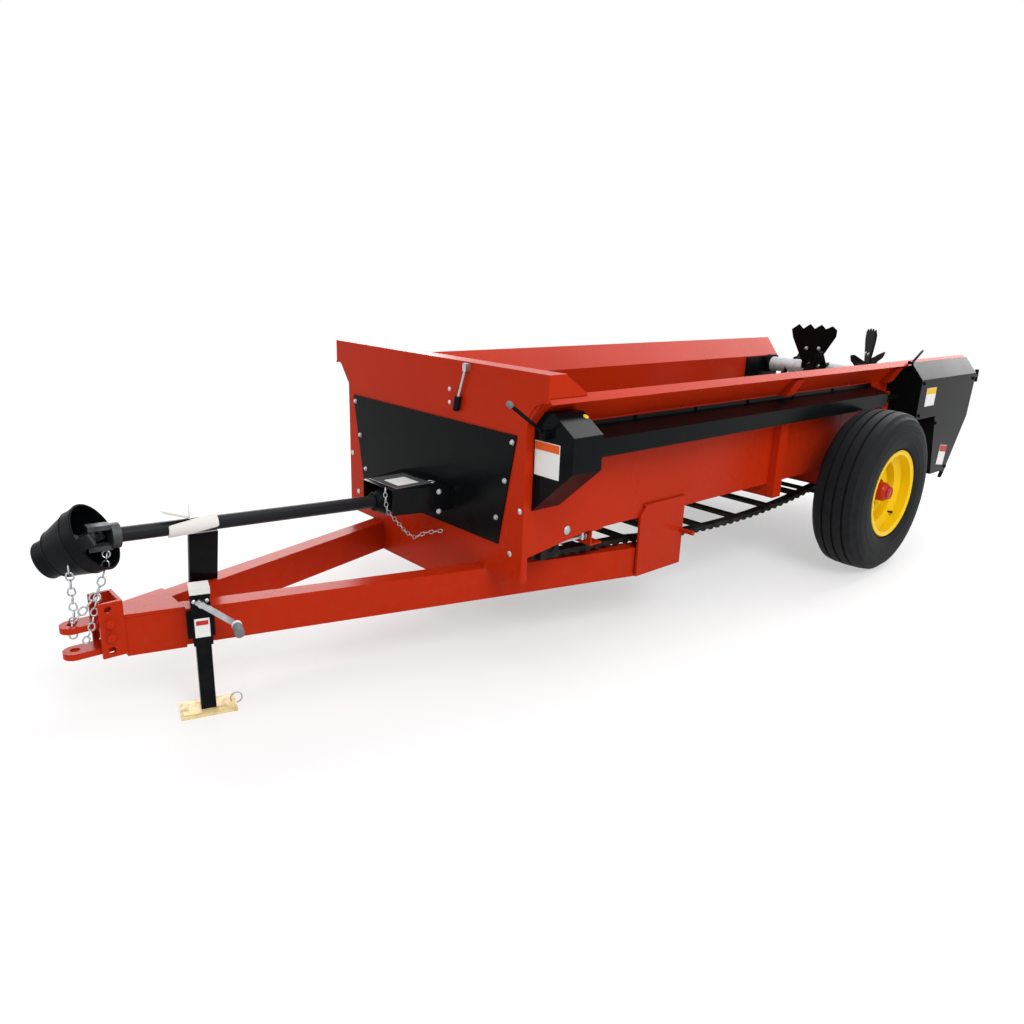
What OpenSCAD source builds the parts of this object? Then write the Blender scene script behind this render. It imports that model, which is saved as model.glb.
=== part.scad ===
// Two-wheel box spreader, parked on its tongue jack.
// X runs forward to the hitch, Y to the left and Z up. The shape is drawn with
// the axle over X = 0 and then moved so that the middle of its length is the origin.

/* [Load box] */
// Axle to the front face of the front panel
box_front_x = 2064; // [1900:1:2200]
// Axle back to the rear end of the sides
box_rear_x = 1230; // [1150:1:1300]
// Half width of the box to the outside of the walls
wall_y = 540; // [500:1:580]
// Sheet thickness of the box
sheet = 4; // [3:0.5:6]
// Height of the box floor's underside over the wheel axle
box_over_axle = 65; // [50:1:80]
// Height where the flare of the sides starts
flare_z = 845; // [800:1:900]
// How far the flare leans out
flare_run = 82; // [50:1:110]
// How far the flare rises
flare_rise = 103; // [70:1:140]
// Size of the lip folded down along the flare
lip_run = 20; // [10:1:30]
// Height of the front panel's top edge
front_top_z = 1019; // [980:1:1100]
// Depth of the flange along the front panel's top
front_flange = 75; // [40:1:110]
// Thickness of the floor boards
floor_t = 22; // [15:1:30]
// Height of the cross sills under the floor
sill_h = 60; // [40:1:70]

/* [Tongue and hitch] */
// Axle to the hitch plate at the tongue's nose
nose_x = 3160; // [2900:1:3300]
// Half width of the nose
nose_y = 48; // [40:1:60]
// Height of the tongue tubes
tongue_h = 115; // [90:1:125]
// Width of the tongue tubes
tongue_w = 64; // [50:1:80]
// Wall of the tongue tubes
tongue_wall = 6; // [4:0.5:10]
// Height of the tongue's top face
tongue_top_z = 320; // [310:1:330]
// Where the outside of the tubes meets the walls
tongue_end_x = 1440; // [1350:1:1500]
// Radius of the hole for the drawbar pin
pin_r = 13.5; // [10:0.5:17]
// Thickness of the clevis jaws
jaw_t = 19; // [14:1:24]
// Gap between the clevis jaws
jaw_gap = 61; // [45:1:75]

/* [Wheels] */
// Outside diameter of the tyres
tyre_d = 760; // [700:1:800]
// Section width of the tyres
tyre_w = 240; // [200:1:260]
// Gap between the tyres and the shaft shield
tyre_gap = 3; // [2:1:30]
// Diameter of the rim's bead seat
rim_d = 381; // [355:1:406]
// Radius of the axle spindles
spindle_r = 22.5; // [18:0.5:28]
// Width of the axle beam
axle_w = 80; // [60:1:90]

/* [Beater] */
// Axle back to the beater shaft
beater_x = 1110; // [1080:1:1140]
// Height of the beater shaft
beater_z = 795; // [785:1:810]
// Radius of the beater tube
beater_tube_r = 45; // [30:1:60]
// Radius to the tips of the paddles
paddle_r = 272; // [230:1:280]
// Width of a paddle across its teeth
paddle_w = 300; // [180:1:320]
// Width of a paddle at its foot
paddle_foot_w = 120; // [80:1:150]
// Number of paddles along the tube
paddle_count = 10; // [6:1:12]
// Turn of each paddle about its own arm
paddle_twist = 35; // [20:1:55]

/* [Apron] */
// Chain to the middle of the machine
chain_y = 455; // [420:1:465]
// Pitch of the chain links
chain_pitch = 52; // [45:1:70]
// Width of the chains
chain_w = 40; // [25:1:45]
// Pitch radius of the rear sprockets
sprocket_r = 65; // [55:1:68]
// Pitch radius of the front idlers
idler_r = 54; // [48:1:60]
// Sag of the return strand in front of the axle
chain_sag = 52; // [20:1:60]
// Links from one slat to the next
slat_every = 5; // [4:1:8]

/* [Drive and guards] */
// Outer face of the drive cases
case_y = 715; // [690:1:735]
// Outer face of the long shaft shield
shield_y = 636; // [620:1:645]
// Radius of the long drive shaft
drive_r = 18; // [12:1:20]
// Radius of the driveline's shield tube
pto_r = 22.5; // [18:0.5:28]
// Height of the driveline where it enters the hood
pto_rear_z = 511; // [490:1:530]
// Height of the driveline's front joint
pto_front_z = 557; // [540:1:580]
// Radius of the bell's wide rim
bell_r = 100; // [85:1:110]
// Length of the bell
bell_l = 160; // [150:1:190]
// How far the bell hangs down at its joint
bell_tilt = 27; // [5:1:30]
// How far the bell is swung to the right at its joint
bell_swing = 37; // [0:1:40]
// Radius of the bore for the tractor's shaft
spline_r = 17.5; // [15:0.5:22]

/* [Jack] */
// Side of the jack's outer tube
jack_side = 54; // [48:1:70]
// Wall of the jack's outer tube
jack_wall = 5; // [3:0.5:7]
// Gap between leg and outer tube
jack_gap = 0.5; // [0.3:0.1:1]
// Nose back to the jack
jack_back = 196; // [150:1:300]
// Length of the jack's foot plate
foot_l = 160; // [120:1:200]
// Width of the jack's foot plate
foot_w = 96; // [80:1:130]

/* [Hidden] */
$fn = 64;
RED = "#B4280F";
BLACK = "#16181B";
YELLOW = "#E8C400";
RUBBER = "#1C1D20";
STEEL = "#A9ABAE";
ZINC = "#C9A74E";
PALE = "#E9E9E6";
BOARD = "#5A5148";

// Box
wall_in = wall_y - sheet;
lip_y = wall_y + flare_run;
lip_z = flare_z + flare_rise;
front_half = lip_y + 10;
wing_z = lip_z - (front_half - sheet - lip_y) + sheet * sqrt(2);
wing_tail = 95;
front_back_x = box_front_x - sheet;
wall_bottom_z = tyre_d / 2 + box_over_axle;
floor_z = wall_bottom_z + floor_t;
sill_bottom_z = wall_bottom_z - sill_h;
sill_w = 60;
sill_wall = 6;
box_l = box_front_x + box_rear_x;
floor_gap = 80;
sill_at = [0.11, 0.223, 0.46, 0.757, 0.894];
sill_x = [for (k = sill_at) box_front_x - k * box_l];
stake_x_left = [sill_x[2], sill_x[3]];
stake_x_right = [sill_x[2], sill_x[3], sill_x[4]];
stake_w = 64;
stake_d = 36;
leg_top_z = 405;
leg_x = box_front_x - 26;
slope_x = box_front_x - 314;

// Tongue
tongue_slope = (wall_y - nose_y) / (nose_x - tongue_end_x);
tongue_angle = atan(tongue_slope);
tongue_run = norm([nose_x - tongue_end_x, wall_y - nose_y]);
tongue_over = 6 * tongue_w;
tongue_bottom_z = tongue_top_z - tongue_h;
tongue_mid_z = tongue_top_z - tongue_h / 2;
tongue_plate = 8;
nose_plate_l = 155;
bracket_t = 10;
bracket_cut = 50;
stub_l = 62;
bracket_x = [1200, 1470];
bracket_z = [tongue_bottom_z + 5, 490];
stub_r = 9;
crossbar_w = 60;

// Hitch
hitch_t = 10;
hitch_h = 168;
hitch_half = 52;
hitch_depth = 66;
hole_pitch = 42;
hole_first = 21;
hole_r = 10.5;
hitch_z = tongue_mid_z + 29.5;
clevis_half = 32;
clevis_web_t = 22;
clevis_reach = 125;
pin_x = nose_x + clevis_reach;
pin_z = tongue_mid_z + 4;

// Wheels
axle_z = tyre_d / 2;
axle_bottom_z = axle_z - spindle_r - 2.5;
wheel_y = shield_y + tyre_gap + tyre_w / 2;
rim_flange_r = rim_d / 2 + 17;
rim_half = tyre_w / 2 - 20;
rim_t = 5;
hub_r = 45;
spindle_gap = 0.05;
spindle_end_y = wheel_y + 60;
disc_y = wheel_y + 15;
disc_t = 8;

// Apron
chain_in = 8;
chain_gap = 0.5;
chain_out = 8;
tooth_out = 15;
apron_top_z = floor_z + chain_in + chain_gap;
drive_from_rear = 160;
drive_x = drive_from_rear - box_rear_x;
drive_z = apron_top_z - sprocket_r;
idler_x = box_front_x - 134;
idler_z = apron_top_z - idler_r;
return_x = -20;
return_z = axle_bottom_z - 27;
rest_x = 1441;
rest_z = tongue_top_z + tooth_out + chain_gap;
slat_t = 16;
slat_w = 38;
bearing_t = 30;
bearing_half = 42;
bearing_up = 38;

// Drive
case_setback = 34;
case_run = 130;
case_front = [box_front_x - case_setback - case_run, box_front_x - case_setback];
shield_front_x = case_front[0];
shield_from_rear = 930;
shield_rear_x = shield_from_rear - box_rear_x;
case_stake_gap = 28;
rear_case_front_x = sill_x[3] - stake_w / 2 - case_stake_gap;
rear_case_end_x = box_rear_x - 15;
rear_case_bottom_z = 330;
rear_case_step_z = 660;
rear_case_knee_z = 625;
boot_x = [52, 250, 335];
case_drop = 85;
case_over = 100;
drive_y = 600;
drive_h = flare_z - 80;
hood_top_z = pto_rear_z + 61;
hood_bottom_z = 415;
hood_reach = 205;
hood_back_half = 150;
hood_front_half = 95;

// Driveline
pto_rear_x = box_front_x + 186;
joint_x = 3206;
pto_pitch = atan((pto_front_z - pto_rear_z) / (joint_x - pto_rear_x));
bell_tip_r = 56;
bell_wall = 4;
bell_back = 12;
bell_ahead = cos(bell_tilt) * cos(bell_swing);
yoke_r = 30;
cone_r = 52;
cone_in_r = spline_r + 1.2;
ear_t = 14;
ear_w = 36;
ear_off = 30;
cross_r = 10;
cross_gap = 0.2;

// Jack
leg_side = jack_side - 2 * jack_wall - 2 * jack_gap;
jack_mount_t = 10;
jack_top_z = 386;
cap_h = 20;
jack_bottom_z = 224;
foot_t = 10;
crank_l = 122;
crank_drop = 40;
jack_leg_top_z = jack_bottom_z + 50;

// Hand controls
lever_z = flare_z - 13;
lever_l = 162;
lever_rise = 104;
rope_y = 246;
grip_z = flare_z + 6;

// Ends of the whole machine
bell_tip_x = joint_x + (bell_l - bell_back) * bell_ahead + bell_tip_r * sqrt(1 - pow(bell_ahead, 2));
mid_x = (bell_tip_x - beater_x - paddle_r) / 2;

// Moves the machine so that the middle of its length is over the origin
module place() {
    translate([-mid_x, 0, 0]) children();
}

// A block between two corners
module block(a, b) {
    translate(a) cube(b - a);
}

// A round bar from one point to another
module rod(a, b, r) {
    d = b - a;
    translate(a)
        rotate([0, acos(d[2] / norm(d)), atan2(d[1], d[0])])
            cylinder(h = norm(d), r = r);
}

// A profile drawn in Y and Z, drawn out along X
module along_x(x0, x1) {
    translate([x0, 0, 0]) rotate([90, 0, 90]) linear_extrude(x1 - x0) children();
}

// A profile drawn in X and Z, drawn out along Y
module along_y(y0, y1) {
    translate([0, y1, 0]) rotate([90, 0, 0]) linear_extrude(y1 - y0) children();
}

// A round profile turned about a line along Y
module about_y(at) {
    translate(at) rotate([-90, 0, 0]) rotate_extrude($fn = 96) children();
}

module mirrored(side) {
    if (side > 0) children();
    else mirror([0, 1, 0]) children();
}

// A bent sheet: a line of points with a thickness to its left
function left_of(a, b) = let (d = (b - a) / norm(b - a)) [-d[1], d[0]];
function mitre(p, i, t) =
    let (
        n1 = i == 0 ? left_of(p[0], p[1]) : left_of(p[i - 1], p[i]),
        n2 = i == len(p) - 1 ? n1 : left_of(p[i], p[i + 1])
    )
    p[i] + t * (n1 + n2) / (1 + n1 * n2);
function inset(p, t) = [for (i = [0 : len(p) - 1])
    let (
        n = len(p),
        n1 = left_of(p[(i + n - 1) % n], p[i]),
        n2 = left_of(p[i], p[(i + 1) % n])
    )
    p[i] + t * (n1 + n2) / (1 + n1 * n2)];
function bent_sheet(p, t) = concat(p, [for (i = [len(p) - 1 : -1 : 0]) mitre(p, i, t)]);

// Outside of a tongue tube at a place along the machine
function tongue_y(x) = nose_y + (nose_x - x) * tongue_slope;

// Sides of the box: wall, flare and folded lip
module side_profile() {
    polygon(bent_sheet([
        [wall_y, tongue_top_z],
        [wall_y, flare_z],
        [lip_y, lip_z],
        [lip_y + lip_run, lip_z - lip_run]
    ], sheet));
}

module under_side() {
    polygon([
        [-box_rear_x - 1, wall_bottom_z],
        [slope_x, wall_bottom_z],
        [leg_x, leg_top_z],
        [leg_x, tongue_top_z - 1],
        [-box_rear_x - 1, tongue_top_z - 1]
    ]);
}

module side(s) {
    color(RED) mirrored(s) difference() {
        along_x(-box_rear_x, front_back_x) side_profile();
        along_y(wall_in - 1, wall_y + 1) under_side();
    }
}

module front_outline() {
    right = concat(
        [[wall_y, tongue_top_z]],
        [for (a = [0 : 15 : 90])
            [front_half - (front_half - wall_y) * cos(a), flare_z + 6 + (lip_z - lip_run - flare_z) * sin(a)]],
        [[front_half, front_top_z]]
    );
    polygon(concat(right, [for (i = [len(right) - 1 : -1 : 0]) [-right[i][0], right[i][1]]]));
}

module front_wing() {
    polygon([
        [front_back_x, wing_z],
        [front_back_x, front_top_z - sheet],
        [box_front_x - front_flange, front_top_z - sheet],
        [box_front_x - front_flange - wing_tail, wing_z + 6],
        [box_front_x - front_flange - wing_tail, wing_z]
    ]);
}

module front_panel() {
    color(RED) {
        along_x(front_back_x, box_front_x) front_outline();
        block(
            [box_front_x - front_flange, -front_half, front_top_z - sheet],
            [front_back_x, front_half, front_top_z]
        );
        for (s = [1, -1]) mirrored(s)
            along_y(front_half - sheet, front_half) front_wing();
    }
}

cover_t = 5;
cover_top_z = flare_z - 33;
cover_bottom_z = 428;
cover_top_half = wall_y - 42;
cover_bottom_half = wall_y - 118;

module front_cover() {
    color(BLACK) along_x(box_front_x, box_front_x + cover_t) polygon([
        [-cover_bottom_half, cover_bottom_z],
        [cover_bottom_half, cover_bottom_z],
        [cover_top_half, cover_top_z],
        [-cover_top_half, cover_top_z]
    ]);
}

module floor_boards() {
    color(BOARD) block(
        [drive_x + floor_gap, -wall_in, wall_bottom_z],
        [idler_x - floor_gap, wall_in, floor_z]
    );
}

module cross_sills() {
    color(RED) for (x = sill_x) difference() {
        block([x - sill_w / 2, -wall_y, sill_bottom_z], [x + sill_w / 2, wall_y, wall_bottom_z]);
        block(
            [x - sill_w / 2 - 1, -wall_y - 1, sill_bottom_z + sill_wall],
            [x + sill_w / 2 - sill_wall, wall_y + 1, wall_bottom_z - sill_wall]
        );
    }
}

// Channel stake on the outside of a wall with a gusset under the flare
module stakes(s, places) {
    color(RED) mirrored(s) for (x = places) {
        difference() {
            block([x - stake_w / 2, wall_y, sill_bottom_z], [x + stake_w / 2, wall_y + stake_d, stake_top_z]);
            block(
                [x - stake_w / 2 + sill_wall, wall_y - 1, sill_bottom_z - 1],
                [x + stake_w / 2 - sill_wall, wall_y + stake_d - sill_wall, stake_top_z + 1]
            );
        }
        translate([x, 0, 0]) along_x(-stake_w / 2, stake_w / 2) polygon([
            [wall_y, shield_top_z + shield_flange + 1],
            [wall_y + stake_d, shield_top_z + shield_flange + 1],
            [lip_y, gusset_top_z],
            [wall_y + (gusset_top_z - flare_z) * flare_run / flare_rise, gusset_top_z],
            [wall_y, flare_z]
        ]);
    }
}

shield_flange = 14;
shield_top_z = flare_z - shield_flange - 5;
shield_fall = 26;
shield_drop = 63;
shield_fold_z = shield_top_z - shield_fall;
shield_bottom_z = shield_fold_z - shield_drop;
stake_top_z = shield_fold_z - 8;
gusset_top_z = lip_z - lip_run - 12;

// Tongue
module tongue_solid(s, inset) {
    mirrored(s) translate([nose_x, nose_y, tongue_bottom_z]) rotate([0, 0, 180 - tongue_angle])
        block(
            [-tongue_over, inset, inset],
            [tongue_run + tongue_over, tongue_w - inset, tongue_h - inset]
        );
}

module tongue_limits(s) {
    mirrored(s) block(
        [tongue_end_x - tongue_over, 0, tongue_bottom_z - 1],
        [nose_x, wall_y, tongue_top_z + 1]
    );
}

module tongue(s) {
    color(RED) intersection() {
        difference() {
            tongue_solid(s, 0);
            tongue_solid(s, tongue_wall);
        }
        tongue_limits(s);
    }
}

module tongue_crossbar() {
    color(RED) difference() {
        block(
            [box_front_x - crossbar_w, -wall_y, tongue_bottom_z],
            [box_front_x, wall_y, tongue_top_z]
        );
        for (s = [1, -1]) mirrored(s)
            translate([nose_x, nose_y, 0]) rotate([0, 0, 180 - tongue_angle])
                block([-tongue_over, -tongue_over, 0], [tongue_run + tongue_over, tongue_w, 2 * tongue_top_z]);
        block(
            [box_front_x - crossbar_w + tongue_wall, -wall_y, tongue_bottom_z + tongue_wall],
            [box_front_x - tongue_wall, wall_y, tongue_top_z - tongue_wall]
        );
    }
}

module tongue_nose() {
    color(RED) for (z = [tongue_top_z, tongue_bottom_z - tongue_plate])
        translate([0, 0, z]) linear_extrude(tongue_plate) polygon([
            [nose_x, -nose_y],
            [nose_x, nose_y],
            [nose_x - nose_plate_l, tongue_y(nose_x - nose_plate_l)],
            [nose_x - nose_plate_l, -tongue_y(nose_x - nose_plate_l)]
        ]);
}

module tongue_bracket(s) {
    color(RED) mirrored(s) {
        along_y(wall_y, wall_y + bracket_t) difference() {
            translate([bracket_x[0], bracket_z[0]]) square([bracket_x[1] - bracket_x[0], bracket_z[1] - bracket_z[0]]);
            translate([bracket_x[1], bracket_z[1]]) rotate(45) square(bracket_cut, center = true);
        }
        rod(
            [bracket_x[0] + stub_r + 2, wall_y + bracket_t, tongue_top_z + 30],
            [bracket_x[0] + stub_r + 2, wall_y + bracket_t + stub_l, tongue_top_z + 30],
            stub_r
        );
    }
}

// Hitch
module hitch_channel() {
    z0 = hitch_z - hitch_h / 2;
    color(RED) difference() {
        block([nose_x, -hitch_half, z0], [nose_x + hitch_depth, hitch_half, z0 + hitch_h]);
        block(
            [nose_x + hitch_t, -hitch_half + hitch_t, z0 - 1],
            [nose_x + hitch_depth + 1, hitch_half - hitch_t, z0 + hitch_h + 1]
        );
        for (i = [0 : 3])
            translate([nose_x + hitch_depth - 26, -hitch_half - 1, z0 + hole_first + i * hole_pitch])
                rotate([-90, 0, 0]) cylinder(h = 2 * hitch_half + 2, r = hole_r);
    }
}

module jaw_outline() {
    translate([pin_x, 0]) circle(clevis_half);
    translate([nose_x + hitch_t, -clevis_half]) square([clevis_reach - hitch_t, 2 * clevis_half]);
}

module hitch_clevis() {
    color(RED) difference() {
        union() {
            for (s = [1, -1]) translate([0, 0, pin_z + s * (jaw_gap + jaw_t) / 2 - jaw_t / 2])
                linear_extrude(jaw_t) jaw_outline();
            block(
                [nose_x + hitch_t, -clevis_half, pin_z - jaw_gap / 2 - jaw_t],
                [nose_x + hitch_t + clevis_web_t, clevis_half, pin_z + jaw_gap / 2 + jaw_t]
            );
        }
        translate([pin_x, 0, pin_z - jaw_gap / 2 - jaw_t - 1]) cylinder(h = jaw_gap + 2 * jaw_t + 2, r = pin_r);
    }
}

// Axle and wheels
module axle() {
    color(RED) {
        block([-axle_w / 2, -wall_y, axle_bottom_z], [axle_w / 2, wall_y, wall_bottom_z]);
        for (s = [1, -1]) mirrored(s) {
            rod([0, wall_y, axle_z], [0, spindle_end_y, axle_z], spindle_r);
        }
    }
}

tread_half = tyre_w / 2 - 26;
shoulder_r = tyre_d / 2 - 20;
tyre_wall = 15;
groove_half = 5.5;
groove_d = 10;
bead_half = rim_half - rim_t - 0.5;
bead_top_r = rim_flange_r + 2;

function crown_r(y) = tyre_d / 2 - 7 * pow(y / tread_half, 2);

// One side of the tyre from the bead to the shoulder, pulled in by a thickness
function flank(t) = concat(
    [[rim_d / 2, bead_half - t]],
    [for (a = [0 : 30 : 180])
        let (k = (1 - cos(a)) / 2)
        [
            bead_top_r + (shoulder_r - t - bead_top_r) * k,
            bead_half - t + (tread_half - bead_half) * k + (tyre_w / 2 - bead_half) * sin(a)
        ]]
);

function groove(y) = [
    [crown_r(y), y + groove_half],
    [crown_r(y) - groove_d, y + groove_half - 1.5],
    [crown_r(y) - groove_d, y - groove_half + 1.5],
    [crown_r(y), y - groove_half]
];

function turned_over(p) = [for (i = [len(p) - 1 : -1 : 0]) [p[i][0], -p[i][1]]];

module tyre_profile() {
    rib = tread_half / 2;
    outer = concat(
        flank(0),
        [[crown_r(tread_half), tread_half - 10]],
        groove(rib), groove(0), groove(-rib),
        [[crown_r(tread_half), -tread_half + 10]],
        turned_over(flank(0))
    );
    inner = concat(flank(tyre_wall), turned_over(flank(tyre_wall)));
    polygon(concat(outer, [for (i = [len(inner) - 1 : -1 : 0]) inner[i]]));
}

module tyre(s) {
    color(RUBBER) about_y([0, s * wheel_y, axle_z]) tyre_profile();
}

// Rim drawn from its inner to its outer edge, with the dished disc inside it
module rim_profile() {
    r = rim_d / 2;
    well = r - 32;
    polygon(bent_sheet([
        [rim_flange_r, rim_half + 2],
        [rim_flange_r - 6, rim_half - rim_t],
        [r - 0.3, rim_half - rim_t],
        [r - 0.3, rim_half - 48],
        [well, rim_half - 66],
        [well, -rim_half + 66],
        [r - 0.3, -rim_half + 48],
        [r - 0.3, -rim_half + rim_t],
        [rim_flange_r - 6, -rim_half + rim_t],
        [rim_flange_r, -rim_half - 2]
    ], -rim_t));
    polygon(bent_sheet([
        [well - 1, disc_y - wheel_y - 33],
        [well - 34, disc_y - wheel_y],
        [hub_r + 0.2, disc_y - wheel_y]
    ], disc_t));
}

module rim(s) {
    color(YELLOW) mirrored(s) about_y([0, wheel_y, axle_z]) rim_profile();
}

hub_in_y = wheel_y - 75;
hub_out_y = wheel_y + 80;
hub_flange = 28;
hub_flange_t = 14;

module hub_profile() {
    bore = spindle_r + spindle_gap;
    polygon(concat(
        [
            [bore, hub_in_y],
            [hub_r - 4, hub_in_y],
            [hub_r - 4, disc_y - disc_t - hub_flange_t],
            [hub_r + hub_flange, disc_y - disc_t - hub_flange_t],
            [hub_r + hub_flange, disc_y - disc_t],
            [hub_r, disc_y - disc_t]
        ],
        [for (a = [0 : 15 : 90]) [hub_r * cos(a), hub_out_y - 26 + 38 * sin(a)]],
        [[0, spindle_end_y + 1], [bore, spindle_end_y + 1]]
    ));
}

module hub(s) {
    color(RED) mirrored(s) about_y([0, 0, axle_z]) hub_profile();
}

// Apron: the centre line of the chain as a closed loop of evenly spaced points
function blend(a, b, k) = a + (b - a) * k;
function strand(a, b, sag) =
    let (n = round(norm(b - a) / chain_pitch))
    [for (i = [0 : n - 1]) let (k = i / n) blend(a, b, k) - [0, 4 * sag * k * (1 - k)]];
function wrap_links(r) = round(PI * r / chain_pitch);
function wrap(c, r, a0, a1) =
    let (n = wrap_links(r))
    [for (i = [0 : n - 1]) let (a = a0 + (a1 - a0) * i / n) c + r * [cos(a), sin(a)]];

drive_c = [drive_x, drive_z];
idler_c = [idler_x, idler_z];
chain_path = concat(
    strand([drive_x, apron_top_z], [idler_x, apron_top_z], 0),
    wrap(idler_c, idler_r, 90, -90),
    strand([idler_x, idler_z - idler_r], [rest_x, rest_z], 0),
    strand([rest_x, rest_z], [return_x, return_z], chain_sag),
    strand([return_x, return_z], [drive_x, drive_z - sprocket_r], chain_sag / 3),
    wrap(drive_c, sprocket_r, -90, -270)
);
links = len(chain_path);
function link_at(i) = chain_path[(i + links) % links];
function link_dir(i) = let (d = link_at(i + 1) - link_at(i)) d / norm(d);
function link_left(i) = let (d = link_dir(i)) [-d[1], d[0]];
function on_link(i, k, out) = blend(link_at(i), link_at(i + 1), k) + link_left(i) * out;

// Each link has a raised barrel at its leading end
module chain_outline() {
    outer = [for (i = [0 : links - 1]) each [
        on_link(i, 0.08, chain_out),
        on_link(i, 0.52, chain_out),
        on_link(i, 0.60, tooth_out),
        on_link(i, 0.92, tooth_out)
    ]];
    inner = [for (i = [0 : links - 1]) each [
        on_link(i, 0.15, -chain_in),
        on_link(i, 0.85, -chain_in)
    ]];
    difference() {
        polygon(outer);
        polygon(inner);
    }
}

module apron_chains() {
    color(BLACK) for (y = [chain_y, -chain_y])
        along_y(y - chain_w / 2, y + chain_w / 2) chain_outline();
}

module apron_slats() {
    color(BLACK) for (i = [0 : slat_every : links - 3]) {
        d = link_dir(i);
        p = on_link(i, 0.5, 0);
        translate([p[0], 0, p[1]]) rotate([0, -atan2(d[1], d[0]), 0])
            block(
                [-slat_w / 2, -chain_y + chain_w / 2, 0],
                [slat_w / 2, chain_y - chain_w / 2, slat_t]
            );
    }
}

shaft_end_y = wall_in - 4;
apron_shaft_r = 20;
key_gap = 0.2;

module apron_wheels(c, r, teeth) {
    wheel_r = r * cos(90 / wrap_links(r)) - chain_in - chain_gap;
    rod([c[0], -shaft_end_y, c[1]], [c[0], shaft_end_y, c[1]], apron_shaft_r);
    for (y = [chain_y, -chain_y]) translate([c[0], y, c[1]]) rotate([90, 0, 0])
        linear_extrude(chain_w - 16, center = true) difference() {
            circle(wheel_r);
            circle(apron_shaft_r + key_gap);
            for (i = [0 : teeth - 1]) rotate(i * 360 / teeth)
                translate([wheel_r + 3, 0]) circle(8);
        }
}

module apron_drive() {
    color(BLACK) apron_wheels(drive_c, sprocket_r, 8);
}

module apron_idler() {
    color(BLACK) apron_wheels(idler_c, idler_r, 0);
}

module apron_bearings() {
    color(BLACK) for (s = [1, -1], c = [drive_c, idler_c]) mirrored(s)
        difference() {
            block(
                [c[0] - bearing_half, wall_in - bearing_t, c[1] - bearing_half],
                [c[0] + bearing_half, wall_in, wall_bottom_z + bearing_up]
            );
            translate([c[0], wall_in - bearing_t - 1, c[1]]) rotate([-90, 0, 0])
                cylinder(h = bearing_t + 2, r = apron_shaft_r + key_gap);
        }
}

module apron_return_bar() {
    r = 11;
    hanger_y = wall_in - 12;
    z = return_z - tooth_out - r - chain_gap;
    color(BLACK) {
        rod([return_x, -hanger_y + key_gap, z], [return_x, hanger_y - key_gap, z], r);
        for (s = [1, -1]) mirrored(s)
            block([return_x - 20, hanger_y, z - r], [return_x + 20, wall_in, axle_bottom_z]);
    }
}

// Beater
beater_end_y = wall_in - 15;
stub_shaft_r = 20;
beater_tube_half = wall_in - 46;
liner_t = 10;
liner_l = 370;
liner_bottom_z = floor_z + 53;
bearing_r = 58;

module beater_tube() {
    color(STEEL) {
        rod([-beater_x, -beater_tube_half, beater_z], [-beater_x, beater_tube_half, beater_z], beater_tube_r);
        for (s = [1, -1]) mirrored(s)
            rod([-beater_x, beater_tube_half, beater_z], [-beater_x, beater_end_y, beater_z], stub_shaft_r);
    }
}

// Fan-shaped plate with a row of saw teeth along its outer edge
module paddle_plate() {
    teeth = 4;
    foot = beater_tube_r + 2;
    root = paddle_r - 34;
    step = paddle_w / teeth;
    linear_extrude(8, center = true) polygon(concat(
        [[-paddle_foot_w / 2, foot], [-paddle_w / 2, root - 40]],
        [for (i = [0 : teeth - 1]) each [
            [-paddle_w / 2 + i * step, root + (i == 0 ? 0 : 4)],
            [-paddle_w / 2 + (i + 0.42) * step, paddle_r - 10 * pow((i - 2) / 2, 2)]
        ]],
        [[paddle_w / 2, root], [paddle_w / 2 - 14, root - 50], [paddle_foot_w / 2, foot]]
    ));
}

paddle_span = 2 * (beater_tube_half - 78);

module beater_paddles() {
    color(BLACK) for (i = [0 : paddle_count - 1]) {
        y = -paddle_span / 2 + i * paddle_span / (paddle_count - 1);
        translate([-beater_x, y, beater_z]) rotate([0, 90 * (i + 2), 0])
            rotate([0, 0, (y > 0 ? 1 : -1) * paddle_twist]) rotate([90, 0, 0]) difference() {
                union() {
                    paddle_plate();
                    translate([-paddle_foot_w / 2, 0, -22]) cube([paddle_foot_w, beater_tube_r + 18, 18]);
                }
                rotate([-90, 0, 0]) rotate([0, 0, -(y > 0 ? 1 : -1) * paddle_twist])
                    rotate([90, 0, 0]) cylinder(h = 2 * paddle_r, r = beater_tube_r + 0.1, center = true);
            }
    }
}

module beater_bearings() {
    color(BLACK) for (s = [1, -1]) mirrored(s) difference() {
        rod(
            [-beater_x, beater_tube_half + 4, beater_z],
            [-beater_x, wall_in - liner_t, beater_z],
            bearing_r
        );
        rod(
            [-beater_x, beater_tube_half, beater_z],
            [-beater_x, wall_in - liner_t - 4, beater_z],
            stub_shaft_r + spindle_gap
        );
    }
}

module beater_liners() {
    color(BLACK) for (s = [1, -1]) mirrored(s)
        block([-box_rear_x, wall_in - liner_t, liner_bottom_z], [-box_rear_x + liner_l, wall_in, flare_z - 4]);
}

// Drive guards on the left side
module front_case_profile(inner_y, t) {
    y_slope = wall_y + (front_case_top_z - flare_z) * flare_run / flare_rise;
    polygon(inset([
        [inner_y, front_case_bottom_z],
        [case_y, front_case_bottom_z + 156],
        [case_y, front_case_top_z - 60],
        [case_y - 90, front_case_top_z],
        [y_slope, front_case_top_z],
        [wall_y, flare_z],
        [inner_y, flare_z - 1]
    ], t));
}

module front_case() {
    color(BLACK) difference() {
        along_x(case_front[0], case_front[1]) front_case_profile(wall_y, 0);
        along_x(case_front[0] + sheet, case_front[1] - sheet) front_case_profile(wall_y - 2 * sheet, sheet);
    }
}

front_case_top_z = lip_z - 51;
front_case_bottom_z = 566;

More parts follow.
